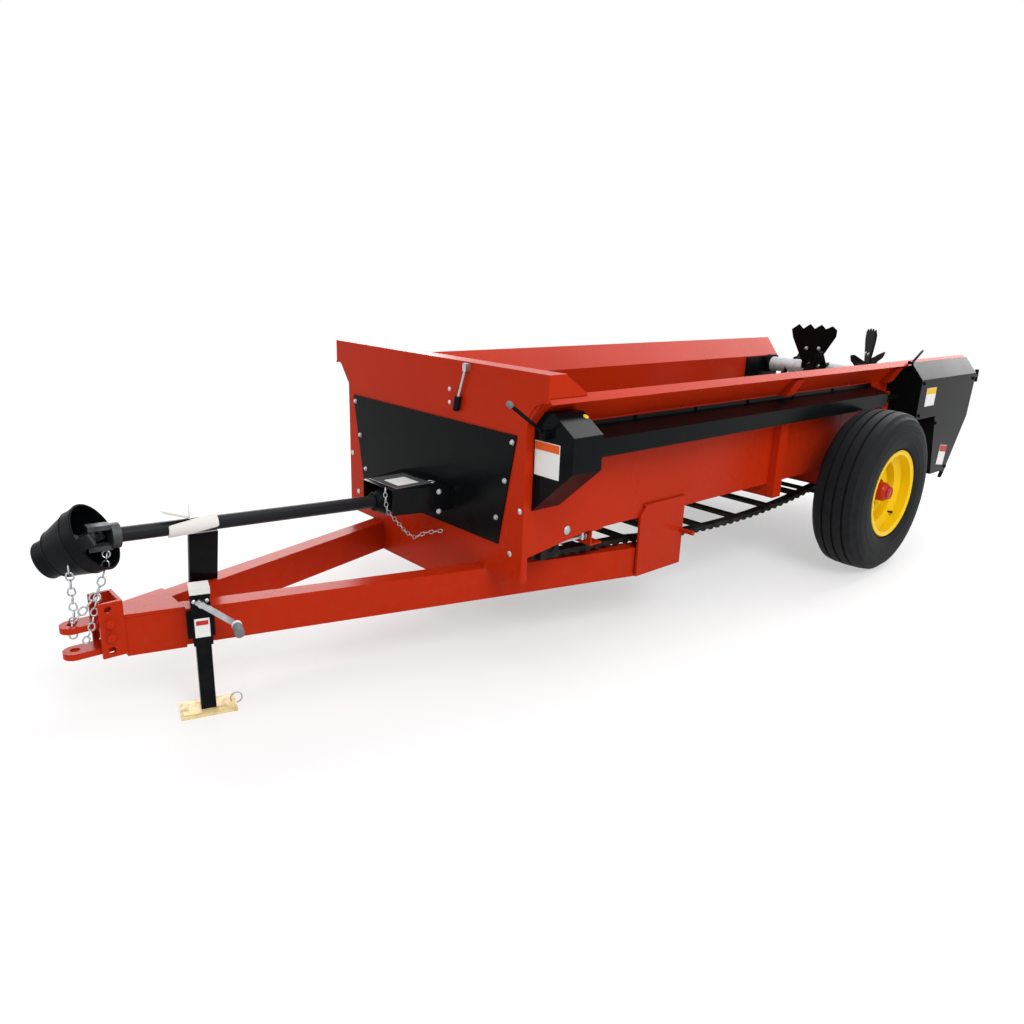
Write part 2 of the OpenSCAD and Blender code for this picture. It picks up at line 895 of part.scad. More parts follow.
module shaft_shield() {
    color(BLACK) along_x(shield_rear_x, shield_front_x) polygon(bent_sheet([
        [wall_y + sheet, shield_top_z + shield_flange],
        [wall_y + sheet, shield_top_z],
        [shield_y, shield_fold_z],
        [shield_y, shield_bottom_z]
    ], -sheet));
}

module drive_shaft() {
    color(BLACK) rod([rear_case_front_x, drive_y, drive_h], [case_front[0], drive_y, drive_h], drive_r);
}

module rear_case_side(t) {
    polygon(inset([
        [rear_case_front_x, lip_z + 10],
        [-rear_case_end_x, lip_z + 10],
        [-rear_case_end_x, beater_z + 55],
        [-rear_case_end_x + 20, rear_case_knee_z],
        [drive_x + boot_x[0], rear_case_bottom_z],
        [drive_x + boot_x[1], rear_case_bottom_z],
        [drive_x + boot_x[2], rear_case_step_z],
        [rear_case_front_x, rear_case_step_z]
    ], t));
}

module rear_case_profile(inner_y, t) {
    gap = lip_y + lip_run + sheet + 1;
    polygon(inset([
        [inner_y, rear_case_bottom_z - 10],
        [case_y, rear_case_bottom_z - 10],
        [case_y, lip_z - case_drop],
        [gap, lip_z - 3],
        [gap, lip_z - 48],
        [wall_y + 44, flare_z + 49],
        [wall_y, flare_z - 5],
        [inner_y, flare_z - 6]
    ], t));
}

module rear_case() {
    color(BLACK) difference() {
        intersection() {
            along_y(wall_y, case_y) rear_case_side(0);
            along_x(-box_rear_x - case_over, rear_case_front_x + case_over) rear_case_profile(wall_y, 0);
        }
        intersection() {
            along_y(wall_y - 1, case_y - sheet) rear_case_side(sheet);
            along_x(-box_rear_x - case_over, rear_case_front_x + case_over) rear_case_profile(wall_y - 2 * sheet, sheet);
        }
    }
}

module hood_plan(inset, reach) {
    polygon([
        [box_front_x + cover_t, -hood_back_half + inset],
        [box_front_x + cover_t + reach, -hood_front_half + inset],
        [box_front_x + cover_t + reach, hood_front_half - inset],
        [box_front_x + cover_t, hood_back_half - inset]
    ]);
}

module input_hood() {
    color(BLACK) translate([0, 0, hood_bottom_z]) difference() {
        linear_extrude(hood_top_z - hood_bottom_z) hood_plan(0, hood_reach);
        translate([0, 0, -1]) linear_extrude(hood_top_z - hood_bottom_z - sheet + 1)
            hood_plan(sheet, hood_reach + 1);
    }
}

module input_shaft() {
    color(STEEL) rod(
        [box_front_x + cover_t, 0, pto_rear_z],
        [pto_rear_x + 18, 0, pto_rear_z],
        spline_r
    );
}

// Driveline: frames along the tube and along the hanging bell
module on_tube() {
    translate([joint_x, 0, pto_front_z]) rotate([0, 90 - pto_pitch, 0]) children();
}

module on_bell() {
    translate([joint_x, 0, pto_front_z]) rotate([0, 90 + bell_tilt, -bell_swing]) children();
}

pto_length = norm([joint_x - pto_rear_x, pto_front_z - pto_rear_z]);

module pto_tube() {
    color(BLACK) on_tube() {
        translate([0, 0, -pto_length + 40]) cylinder(h = pto_length - 110, r = pto_r);
    }
}

module pto_rear_cone() {
    color(BLACK) on_tube() translate([0, 0, -pto_length - 20]) rotate_extrude()
        polygon([
            [cone_in_r, 0],
            [cone_r, 0],
            [cone_r - 2, 20],
            [pto_r + 8, 60],
            [cone_in_r, 60]
        ]);
}

module pto_yoke() {
    color(STEEL) on_bell() difference() {
        union() {
            translate([0, 0, 42]) cylinder(h = 100, r = yoke_r);
            for (s = [1, -1])
                translate([-ear_w / 2, s * ear_off - ear_t / 2, -14]) cube([ear_w, ear_t, 62]);
        }
        translate([0, 0, 70]) cylinder(h = 80, r = spline_r);
        rotate([90, 0, 0]) cylinder(h = 4 * ear_off, r = cross_r + cross_gap, center = true);
    }
}

module pto_joint() {
    color(STEEL) {
        on_bell() rotate([90, 0, 0]) cylinder(h = 2 * ear_off + ear_t, r = cross_r, center = true);
        on_tube() {
            rotate([0, 90, 0]) cylinder(h = 2 * ear_off + ear_t, r = cross_r, center = true);
            for (s = [1, -1])
                translate([s * ear_off - ear_t / 2, -ear_w / 2, -48]) cube([ear_t, ear_w, 62]);
            translate([0, 0, -70]) cylinder(h = 24, r = 37);
        }
    }
}

module bell_profile() {
    z0 = -bell_back;
    z1 = bell_l - bell_back;
    polygon([
        [bell_r, z0],
        [bell_r - 6, z0 + 40],
        [70, z1 - 44],
        [bell_tip_r + 3, z1 - 40],
        [bell_tip_r, z1],
        [bell_tip_r - bell_wall, z1],
        [bell_tip_r - bell_wall, z1 - 46],
        [yoke_r + 0.2, z1 - 46],
        [yoke_r + 0.2, z1 - 54],
        [66, z1 - 54],
        [bell_r - 6 - bell_wall, z0 + 40],
        [bell_r - bell_wall, z0]
    ]);
}

module pto_bell_half(turn) {
    color(BLACK) on_bell() rotate([0, 0, turn]) rotate_extrude(angle = 180) bell_profile();
}

stand_x = nose_x - 285;
stand_half = 45;
stand_rake = 23;
tie_t = 4;
tie_l = 150;
function shaft_z(x) = pto_rear_z + (x - pto_rear_x) * tan(pto_pitch);

// Leaning flat post from the right tongue tube up to a saddle under the tube
module pto_stand() {
    base_y = -tongue_y(stand_x) + tongue_w / 2;
    top_z = shaft_z(stand_x) - pto_r / cos(pto_pitch);
    rise = top_z - tongue_top_z;
    color(BLACK) difference() {
        multmatrix([
            [1, 0, stand_rake / rise, stand_x],
            [0, 1, -base_y / rise, base_y],
            [0, 0, 1, tongue_top_z],
            [0, 0, 0, 1]
        ])
            along_y(-6, 6) polygon([
                [-stand_half, 0],
                [stand_half, 0],
                [stand_half, rise + 10],
                [-stand_half, rise + 10]
            ]);
        on_tube() translate([0, 0, -pto_length]) cylinder(h = pto_length, r = pto_r + tie_t + 0.2);
    }
}

module pto_tie() {
    color(PALE) on_tube() translate([0, 0, stand_x + stand_rake - stand_half - joint_x]) difference() {
        cylinder(h = tie_l, r = pto_r + tie_t);
        translate([0, 0, -1]) cylinder(h = tie_l + 2, r = pto_r + 0.2);
    }
}

// Jack on the outside of the left tongue tube
module on_jack() {
    translate([nose_x - jack_back, tongue_y(nose_x - jack_back), 0])
        rotate([0, 0, -tongue_angle])
            translate([0, jack_mount_t + jack_side / 2, 0]) children();
}

module square_post(side, z0, z1) {
    translate([-side / 2, -side / 2, z0]) cube([side, side, z1 - z0]);
}

module jack_tube() {
    color(BLACK) on_jack() {
        difference() {
            square_post(jack_side, jack_bottom_z, jack_top_z);
            square_post(jack_side - 2 * jack_wall, jack_bottom_z - 1, jack_top_z + 1);
        }
        block(
            [-jack_side / 2 - 12, -jack_side / 2 - jack_mount_t, tongue_bottom_z + 22],
            [jack_side / 2 + 12, -jack_side / 2, tongue_top_z - 8]
        );
    }
}

module jack_cap() {
    color(PALE) on_jack() square_post(jack_side + 3, jack_top_z, jack_top_z + cap_h);
}

module jack_crank() {
    z = jack_top_z - 24;
    color(STEEL) on_jack() {
        rod([0, jack_side / 2, z], [0, jack_side / 2 + 26, z], 9);
        translate([0, jack_side / 2 + 12, z]) rotate([0, 180 - crank_drop, 0])
            block([-14, 0, -8], [crank_l + 14, 9, 8]);
        translate([0, jack_side / 2 + 20, z]) rotate([0, 180 - crank_drop, 0])
            rod([crank_l, 0, 0], [crank_l, 66, 0], 12);
    }
}

module jack_leg() {
    color(BLACK) on_jack() difference() {
        square_post(leg_side, foot_t, jack_leg_top_z);
        square_post(leg_side - 2 * jack_wall, foot_t + jack_wall, jack_leg_top_z + 1);
    }
}

module jack_foot() {
    color(ZINC) on_jack() block([-foot_l / 2, -foot_w / 2, 0], [foot_l / 2, foot_w / 2, foot_t]);
}

// Hand controls at the front
module control_lever() {
    y = wall_y + 60;
    color(BLACK) {
        block([case_front[1], y - 12, lever_z - 18], [case_front[1] + 26, y + 12, lever_z + 12]);
        rod([case_front[1] + 10, y, lever_z], [case_front[1] + lever_l, y, lever_z + lever_rise], 6);
        translate([case_front[1] + lever_l, y, lever_z + lever_rise]) sphere(r = 14);
    }
}

module rope_rod() {
    x = box_front_x + 12;
    color(STEEL) {
        rod([x, rope_y, front_top_z - 6], [x, rope_y - 43, grip_z + 44], 4.5);
        rod([x, rope_y - 43, grip_z + 46], [x, rope_y - 54, grip_z], 11);
        block([box_front_x, rope_y - 12, front_top_z - 30], [x + 8, rope_y + 6, front_top_z - 4]);
    }
}

place() side(1);  // side_left
place() side(-1);  // side_right
place() front_panel();
place() front_cover();
place() floor_boards();
place() cross_sills();
place() stakes(1, stake_x_left);  // stakes_left
place() stakes(-1, stake_x_right);  // stakes_right
place() tongue(1);  // tongue_left
place() tongue(-1);  // tongue_right
place() tongue_crossbar();
place() tongue_nose();
place() tongue_bracket(1);  // tongue_bracket_left
place() tongue_bracket(-1);  // tongue_bracket_right
place() hitch_channel();
place() hitch_clevis();
place() axle();
place() tyre(1);  // tyre_left
place() rim(1);  // rim_left
place() hub(1);  // hub_left
place() tyre(-1);  // tyre_right
place() rim(-1);  // rim_right
place() hub(-1);  // hub_right
place() apron_chains();
place() apron_slats();
place() apron_drive();
place() apron_idler();
place() apron_bearings();
place() apron_return_bar();
place() beater_tube();
place() beater_paddles();
place() beater_bearings();
place() beater_liners();
place() input_hood();
place() input_shaft();
place() front_case();
place() shaft_shield();
place() drive_shaft();
place() rear_case();
place() pto_tube();
place() pto_rear_cone();
place() pto_yoke();
place() pto_joint();
place() pto_bell_half(90);  // pto_bell_upper
place() pto_bell_half(-90);  // pto_bell_lower
place() pto_stand();
place() pto_tie();
place() jack_tube();
place() jack_cap();
place() jack_crank();
place() jack_leg();
place() jack_foot();
place() control_lever();
place() rope_rod();
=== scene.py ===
"""Dressed scene of a two-wheel box manure spreader, parked on its tongue jack."""
import bpy
from math import cos, pi, radians, sin
from mathutils import Matrix, Vector


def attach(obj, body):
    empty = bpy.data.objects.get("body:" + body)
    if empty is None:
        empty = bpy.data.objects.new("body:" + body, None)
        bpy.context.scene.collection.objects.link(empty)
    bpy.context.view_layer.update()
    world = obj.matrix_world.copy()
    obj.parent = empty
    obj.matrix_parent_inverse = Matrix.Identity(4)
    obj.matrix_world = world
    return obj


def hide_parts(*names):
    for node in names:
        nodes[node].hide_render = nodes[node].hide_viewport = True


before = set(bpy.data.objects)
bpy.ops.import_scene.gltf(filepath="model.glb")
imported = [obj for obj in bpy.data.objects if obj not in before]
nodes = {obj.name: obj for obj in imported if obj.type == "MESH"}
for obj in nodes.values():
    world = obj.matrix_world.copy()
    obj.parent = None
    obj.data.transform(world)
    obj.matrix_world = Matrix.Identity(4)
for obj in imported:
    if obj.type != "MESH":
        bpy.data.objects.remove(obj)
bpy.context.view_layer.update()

# Metres from the frame's origin back to the axle
AXLE_BACK = 0.98433

# Places in millimetres that several pieces share
WHEEL_Y = 759
AXLE_Z = 380
BEATER_X = -1110
BEATER_Z = 795
PANEL_X = 2064
COVER_X = 2069
HOOD_TOP = 572
HOOD_BOTTOM = 480
TONGUE_TOP = 321
WALL_Y = 540
APRON_Y = 521
FRONT_CASE_X = 2030
LEVER_Y = 600
CASE_Y = 715
LATCH_Y = 690

# Ways that the top of a piece can face
FRONT = (1, 0, 0)
BACK = (-1, 0, 0)
LEFT = (0, 1, 0)
UP = (0, 0, 1)

# Edges below these angles, in degrees, are shaded smooth
CRISP = 35
ROUNDED = 60


def at(x, y, z):
    """A point in millimetres: forward of the axle, left of the middle, above the floor."""
    return Vector((x / 1000 - AXLE_BACK, y / 1000, z / 1000))


def linear(code):
    """A colour written as on a paint chart, for a shader socket."""
    parts = [int(code[i:i + 2], 16) / 255 for i in (1, 3, 5)]
    return tuple(c / 12.92 if c <= 0.04045 else ((c + 0.055) / 1.055) ** 2.4 for c in parts) + (1.0,)


# Camera
SENSOR = 36
IMAGE_PIXELS = 1024
FOCAL_PIXELS = 791.92
CAMERA_PLACE = (3739.2, 2334.2, 1306.7)
AZIMUTH = 0.834814
ELEVATION = 0.292390
ROLL = 0.036580


def set_camera():
    """The photograph's view, from a camera fitted to it."""
    look = Vector((-cos(AZIMUTH) * cos(ELEVATION), -sin(AZIMUTH) * cos(ELEVATION), -sin(ELEVATION)))
    right = look.cross(Vector(UP)).normalized()
    up = right.cross(look)
    across = cos(ROLL) * right + sin(ROLL) * up
    above = cos(ROLL) * up - sin(ROLL) * right
    data = bpy.data.cameras.new("photo_view")
    data.sensor_width = SENSOR
    data.lens = SENSOR * FOCAL_PIXELS / IMAGE_PIXELS
    data.clip_end = 200
    camera = bpy.data.objects.new("photo_view", data)
    bpy.context.collection.objects.link(camera)
    turn = Matrix((across, above, -look)).transposed().to_4x4()
    camera.matrix_world = Matrix.Translation(at(*CAMERA_PLACE)) @ turn
    bpy.context.scene.camera = camera


# Shader effects shared by several finishes
def new_group(name, takes, gives):
    tree = bpy.data.node_groups.new(name, "ShaderNodeTree")
    for label, kind, value in takes:
        tree.interface.new_socket(name=label, in_out="INPUT", socket_type=kind).default_value = value
    for label, kind in gives:
        tree.interface.new_socket(name=label, in_out="OUTPUT", socket_type=kind)
    return tree, tree.nodes.new("NodeGroupInput"), tree.nodes.new("NodeGroupOutput")


def object_place(tree):
    return tree.nodes.new("ShaderNodeTexCoord").outputs["Object"]


def noise(tree, vector, scale, detail, stretch=None):
    """A noise texture on a vector, drawn out along an axis where a stretch is given."""
    if stretch:
        mapping = tree.nodes.new("ShaderNodeMapping")
        mapping.inputs["Scale"].default_value = stretch
        tree.links.new(vector, mapping.inputs["Vector"])
        vector = mapping.outputs["Vector"]
    texture = tree.nodes.new("ShaderNodeTexNoise")
    texture.inputs["Scale"].default_value = scale
    texture.inputs["Detail"].default_value = detail
    tree.links.new(vector, texture.inputs["Vector"])
    return texture.outputs["Fac"]


def span(tree, value, low, high, to_low=0.0, to_high=1.0):
    """Maps a stretch of a value on to another stretch, held at the ends."""
    node = tree.nodes.new("ShaderNodeMapRange")
    for label, number in (("From Min", low), ("From Max", high), ("To Min", to_low), ("To Max", to_high)):
        node.inputs[label].default_value = number
    tree.links.new(value, node.inputs["Value"])
    return node.outputs["Result"]


def combine(tree, operation, a, b):
    """A Math node on two sockets or numbers."""
    node = tree.nodes.new("ShaderNodeMath")
    node.operation = operation
    for socket, value in zip(node.inputs, (a, b)):
        if isinstance(value, (int, float)):
            socket.default_value = value
        else:
            tree.links.new(value, socket)
    return node.outputs[0]


def blend_colours(tree, mask, a, b):
    node = tree.nodes.new("ShaderNodeMix")
    node.data_type = "RGBA"
    tree.links.new(mask, node.inputs[0])
    tree.links.new(a, node.inputs[6])
    tree.links.new(b, node.inputs[7])
    return node.outputs[2]


EFFECT_OUTPUTS = [("Color", "NodeSocketColor"), ("Roughness", "NodeSocketFloat"),
                  ("Height", "NodeSocketFloat")]


def make_film():
    """Soft mottling of a coat, faint streaks down it, and dust that thickens towards the ground."""
    tree, take, give = new_group(
        "coat_film",
        [("Coat", "NodeSocketColor", (1, 1, 1, 1)), ("Shade", "NodeSocketColor", (0, 0, 0, 1)),
         ("Dust", "NodeSocketColor", (0.4, 0.36, 0.3, 1)), ("Mottle", "NodeSocketFloat", 0.15),
         ("Dustiness", "NodeSocketFloat", 0.1), ("Base Roughness", "NodeSocketFloat", 0.3)],
        EFFECT_OUTPUTS)
    place = object_place(tree)
    split = tree.nodes.new("ShaderNodeSeparateXYZ")
    tree.links.new(place, split.inputs[0])
    cloud = span(tree, noise(tree, place, scale=2.2, detail=5), low=0.35, high=0.68)
    streak = span(tree, noise(tree, place, scale=9, detail=3, stretch=(1.0, 1.0, 0.12)), low=0.5, high=0.8)
    patches = combine(tree, "MAXIMUM", cloud, streak)
    shade = combine(tree, "MULTIPLY", patches, take.outputs["Mottle"])
    near_ground = span(tree, split.outputs["Z"], low=0.0, high=0.55, to_low=1.0, to_high=0.12)
    specks = span(tree, noise(tree, place, scale=26, detail=6), low=0.42, high=0.75)
    low_specks = combine(tree, "MULTIPLY", near_ground, specks)
    dust = combine(tree, "MULTIPLY", low_specks, take.outputs["Dustiness"])
    coat = blend_colours(tree, shade, take.outputs["Coat"], take.outputs["Shade"])
    coat = blend_colours(tree, dust, coat, take.outputs["Dust"])
    rough = combine(tree, "ADD", take.outputs["Base Roughness"], combine(tree, "MULTIPLY", dust, 0.6))
    rough = combine(tree, "ADD", rough, combine(tree, "MULTIPLY", cloud, 0.06))
    tree.links.new(coat, give.inputs["Color"])
    tree.links.new(rough, give.inputs["Roughness"])
    tree.links.new(noise(tree, place, scale=320, detail=2), give.inputs["Height"])
    return tree


def make_scuff():
    """Short scratches in relief and stained, rougher spots on bare or plated metal."""
    tree, take, give = new_group(
        "metal_scuff",
        [("Metal", "NodeSocketColor", (0.6, 0.6, 0.6, 1)), ("Stain", "NodeSocketColor", (0.2, 0.15, 0.1, 1)),
         ("Staining", "NodeSocketFloat", 0.3), ("Base Roughness", "NodeSocketFloat", 0.35)],
        EFFECT_OUTPUTS)
    place = object_place(tree)
    spots = span(tree, noise(tree, place, scale=34, detail=5), low=0.48, high=0.72)
    lines = noise(tree, place, scale=60, detail=2, stretch=(0.3, 6.0, 6.0))
    stain = combine(tree, "MULTIPLY", spots, take.outputs["Staining"])
    metal = blend_colours(tree, stain, take.outputs["Metal"], take.outputs["Stain"])
    rough = combine(tree, "ADD", take.outputs["Base Roughness"], combine(tree, "MULTIPLY", spots, 0.25))
    tree.links.new(metal, give.inputs["Color"])
    tree.links.new(rough, give.inputs["Roughness"])
    tree.links.new(lines, give.inputs["Height"])
    return tree


FILM = make_film()
SCUFF = make_scuff()


# Finishes
def new_finish(name, group, settings):
    """A material whose colour, roughness and relief come from one of the shared effects."""
    material = bpy.data.materials.new(name)
    material.use_nodes = True
    tree = material.node_tree
    shader = tree.nodes["Principled BSDF"]
    effect = tree.nodes.new("ShaderNodeGroup")
    effect.node_tree = group
    for label, value in settings.items():
        effect.inputs[label].default_value = value
    tree.links.new(effect.outputs["Color"], shader.inputs["Base Color"])
    tree.links.new(effect.outputs["Roughness"], shader.inputs["Roughness"])
    return material, tree, shader, effect


def add_relief(tree, shader, height, strength, distance):
    bump = tree.nodes.new("ShaderNodeBump")
    bump.inputs["Strength"].default_value = strength
    bump.inputs["Distance"].default_value = distance
    tree.links.new(height, bump.inputs["Height"])
    tree.links.new(bump.outputs["Normal"], shader.inputs["Normal"])


def coated(name, coat, shade, roughness, mottle=0.2, dustiness=0.1, shine=0.1, gloss=0.0, relief=0.08):
    """Painted sheet or moulded plastic, with a low shine face on."""
    material, tree, shader, effect = new_finish(name, FILM, {
        "Coat": linear(coat), "Shade": linear(shade), "Dust": linear("#8C8172"),
        "Mottle": mottle, "Dustiness": dustiness, "Base Roughness": roughness})
    shader.inputs["Specular IOR Level"].default_value = shine
    shader.inputs["Coat Weight"].default_value = gloss
    shader.inputs["Coat Roughness"].default_value = 0.12
    add_relief(tree, shader, effect.outputs["Height"], strength=relief, distance=0.0006)
    return material


def label_stock(name, coat, shade):
    return coated(name, coat, shade, roughness=0.4, mottle=0.15, dustiness=0.03)


def bare_metal(name, metal, stain, roughness, staining=0.5, metallic=1.0):
    material, tree, shader, effect = new_finish(name, SCUFF, {
        "Metal": linear(metal), "Stain": linear(stain), "Staining": staining, "Base Roughness": roughness})
    shader.inputs["Metallic"].default_value = metallic
    add_relief(tree, shader, effect.outputs["Height"], strength=0.12, distance=0.0005)
    return material


def tyre_rubber():
    """Black rubber with moulded rings round the side walls."""
    ring_waves = 330.0
    wall_edge = 0.335
    tread_edge = 0.345
    material, tree, shader, effect = new_finish("tyre_rubber", FILM, {
        "Coat": linear("#17191C"), "Shade": linear("#0F1012"), "Dust": linear("#5E5850"),
        "Mottle": 0.5, "Dustiness": 0.12, "Base Roughness": 0.62})
    shader.inputs["Specular IOR Level"].default_value = 0.12
    from_axle = tree.nodes.new("ShaderNodeMapping")
    from_axle.inputs["Location"].default_value = (AXLE_BACK, 0, -AXLE_Z / 1000)
    tree.links.new(object_place(tree), from_axle.inputs["Vector"])
    in_plane = tree.nodes.new("ShaderNodeVectorMath")
    in_plane.operation = "MULTIPLY"
    in_plane.inputs[1].default_value = (1, 0, 1)
    tree.links.new(from_axle.outputs["Vector"], in_plane.inputs[0])
    radius = tree.nodes.new("ShaderNodeVectorMath")
    radius.operation = "LENGTH"
    tree.links.new(in_plane.outputs["Vector"], radius.inputs[0])
    wave = combine(tree, "SINE", combine(tree, "MULTIPLY", radius.outputs["Value"], ring_waves), 0.0)
    side_wall = span(tree, radius.outputs["Value"], wall_edge, tread_edge, to_low=1.0, to_high=0.0)
    rings = combine(tree, "MULTIPLY", span(tree, wave, low=0.55, high=0.85), side_wall)
    relief = combine(tree, "ADD", rings, combine(tree, "MULTIPLY", effect.outputs["Height"], 0.25))
    add_relief(tree, shader, relief, strength=0.35, distance=0.003)
    return material


def weathered_boards():
    """Dark floor boards along the box, with grain and gaps between them."""
    half_board = 0.09
    half_gap = 0.004
    material, tree, shader, effect = new_finish("weathered_boards", FILM, {
        "Coat": linear("#5A5148"), "Shade": linear("#39322B"), "Dust": linear("#7A6A55"),
        "Mottle": 0.8, "Dustiness": 0.5, "Base Roughness": 0.75})
    place = object_place(tree)
    grain = noise(tree, place, scale=40, detail=6, stretch=(0.06, 1.0, 1.0))
    split = tree.nodes.new("ShaderNodeSeparateXYZ")
    tree.links.new(place, split.inputs[0])
    to_seam = combine(tree, "PINGPONG", split.outputs["Y"], half_board)
    board = span(tree, to_seam, low=0.0, high=half_gap)
    add_relief(tree, shader, combine(tree, "MULTIPLY", grain, board), strength=0.6, distance=0.004)
    return material


RED = coated("red_enamel", "#B2290A", "#941D07", roughness=0.24,
             mottle=0.22, dustiness=0.04, shine=0.05, relief=0.03)
HUB_RED = coated("hub_enamel", "#B02810", "#8E1C0A", roughness=0.24,
                 mottle=0.2, dustiness=0.08, shine=0.2)
BLACK = coated("black_enamel", "#0B0D0F", "#070809", roughness=0.2,
               mottle=0.4, dustiness=0.03, shine=0.05, relief=0.03)
PADDLE_BLACK = coated("paddle_black", "#0D0C0C", "#120806", roughness=0.5,
                      mottle=0.6, dustiness=0.03, shine=0.01, relief=0.05)
TUBE_BLACK = coated("shield_tube_plastic", "#16181C", "#101216", roughness=0.32,
                    mottle=0.3, dustiness=0.03, shine=0.16)
GLOSS_BLACK = coated("gloss_black_guard", "#0D0E10", "#08090A", roughness=0.14,
                     mottle=0.3, dustiness=0.03, shine=0.08)
# Grey of the hood's lid: a painted reflection of the sky on the black hood's top
LID_REFLECTION_GREY = coated("lid_painted_reflection", "#5A5C60", "#3C3E42", roughness=0.14,
                  mottle=0.5, dustiness=0.03, shine=0.4, gloss=0.6)
CHAIN_BLACK = coated("black_chain_iron", "#111214", "#090909", roughness=0.5,
                     mottle=0.5, dustiness=0.2, relief=0.3)
YELLOW = coated("yellow_enamel", "#EBC40C", "#D5AE00", roughness=0.28,
                mottle=0.15, dustiness=0.05, shine=0.15)
GUARD_BLACK = coated("black_guard_plastic", "#0C0E12", "#08090C", roughness=0.34,
                     mottle=0.4, dustiness=0.03, shine=0.06, relief=0.12)
PALE = coated("pale_plastic", "#DEDBD8", "#C9C3BE", roughness=0.45, mottle=0.3, dustiness=0.08)
GRIP_GREY = coated("grey_grip", "#6E7378", "#4E5256", roughness=0.6, mottle=0.4, relief=0.3)
TAG_CARD = coated("tag_card", "#B4B0A8", "#9A968E", roughness=0.55, mottle=0.4, dustiness=0.05)
LABEL_WHITE = label_stock("blank_label", "#DFDFDD", "#D0CFCB")
LABEL_ORANGE = label_stock("label_band_orange", "#D9581C", "#C04A14")
LABEL_YELLOW = label_stock("label_band_yellow", "#E2B91E", "#CBA312")
LABEL_RED = label_stock("label_band_red", "#B5322A", "#9C2822")
DARK_IRON = bare_metal("dark_forged_iron", "#3E4043", "#262524", roughness=0.5, metallic=0.5)
DULL_STEEL = bare_metal("dull_steel_tube", "#C2C5C8", "#9C9A94", roughness=0.5, metallic=0.35)
GALVANISED = bare_metal("galvanised_steel", "#B9BCC0", "#85888C", roughness=0.34)
ZINC_GOLD = bare_metal("yellow_zinc", "#E4D09A", "#B59C5E", roughness=0.42, staining=0.9, metallic=0.15)
RUBBER = tyre_rubber()
BOARDS = weathered_boards()

FINISH_OF = {
    RED: ["side_left", "side_right", "front_panel", "cross_sills", "stakes_left", "stakes_right",
          "tongue_left", "tongue_right", "tongue_crossbar", "tongue_nose", "tongue_bracket_left",
          "tongue_bracket_right", "hitch_channel", "hitch_clevis", "axle"],
    HUB_RED: ["hub_left", "hub_right"],
    PADDLE_BLACK: ["beater_paddles"],
    TUBE_BLACK: ["pto_tube"],
    BLACK: ["front_cover", "beater_bearings", "beater_liners", "front_case", "shaft_shield",
            "drive_shaft", "rear_case", "pto_stand", "jack_tube", "jack_leg", "control_lever"],
    GLOSS_BLACK: ["input_hood"],
    CHAIN_BLACK: ["apron_chains", "apron_slats", "apron_drive", "apron_idler", "apron_bearings",
                  "apron_return_bar"],
    YELLOW: ["rim_left", "rim_right"],
    RUBBER: ["tyre_left", "tyre_right"],
    BOARDS: ["floor_boards"],
    DULL_STEEL: ["beater_tube"],
    DARK_IRON: ["input_shaft", "pto_yoke", "pto_joint"],
    GALVANISED: ["jack_crank", "rope_rod"],
    GUARD_BLACK: ["pto_rear_cone", "pto_bell_upper", "pto_bell_lower"],
    PALE: ["pto_tie", "jack_cap"],
    ZINC_GOLD: ["jack_foot"],
}
for finish, names in FINISH_OF.items():
    for name in names:
        for slot in nodes[name].material_slots:
            slot.material = finish


# Shop tools for new pieces, with lengths in metres
def clear_bench():
    if bpy.context.object and bpy.context.object.mode != "OBJECT":
        bpy.ops.object.mode_set(mode="OBJECT")
    bpy.ops.object.select_all(action="DESELECT")


def take_up(*pieces):
    clear_bench()
    for piece in pieces:
        piece.select_set(True)
    bpy.context.view_layer.objects.active = pieces[0]


def fix_place():
    bpy.ops.object.transform_apply(location=True, rotation=True, scale=True)


def open_for_editing(piece, kind):
    """Opens a piece for editing by face or by vertex, closed again with nothing picked."""
    take_up(piece)
    bpy.ops.object.mode_set(mode="EDIT")
    bpy.ops.mesh.select_mode(type=kind)
    bpy.ops.mesh.select_all(action="DESELECT")
    bpy.ops.object.mode_set(mode="OBJECT")


def pick_faces(piece, test):
    """Picks the faces whose centre and normal pass a test, and stays in edit mode."""
    open_for_editing(piece, "FACE")
    for face in piece.data.polygons:
        face.select = test(face.center, face.normal)
    bpy.ops.object.mode_set(mode="EDIT")


def pick_points(piece, test):
    """Picks the vertices whose place passes a test, and stays in edit mode."""
    open_for_editing(piece, "VERT")
    for point in piece.data.vertices:
        point.select = test(point.co)
    bpy.ops.object.mode_set(mode="EDIT")


def every_face(centre, normal):
    return True


def top_face(centre, normal):
    return normal.z > 0.9


def done_editing():
    bpy.ops.object.mode_set(mode="OBJECT")


def soften(piece, width, segments=2):
    take_up(piece)
    bevel = piece.modifiers.new("soft_edge", "BEVEL")
    bevel.width = width
    bevel.segments = segments
    bevel.limit_method = "ANGLE"
    bevel.angle_limit = radians(30)
    bpy.ops.object.modifier_apply(modifier=bevel.name)


def weld_up(*pieces):
    take_up(*pieces)
    bpy.ops.object.join()
    return bpy.context.object


def facing(point, normal, turn=0.0):
    """Takes a piece modelled standing on the floor to a point, with its top along a normal."""
    lean = Vector(UP).rotation_difference(Vector(normal).normalized())
    return Matrix.Translation(point) @ lean.to_matrix().to_4x4() @ Matrix.Rotation(turn, 4, "Z")


def along(a, b):
    """Takes a piece modelled up from the floor to the line from a to b."""
    return facing(a, b - a)


def upright(point, normal):
    """Place of a plate on an upright wall, its top edge upwards."""
    out = Vector(normal).normalized()
    up = Vector(UP)
    return Matrix.Translation(point) @ Matrix((up.cross(out), up, out)).transposed().to_4x4()


def put(piece, place):
    take_up(piece)
    piece.matrix_world = place @ piece.matrix_world
    fix_place()
    return piece


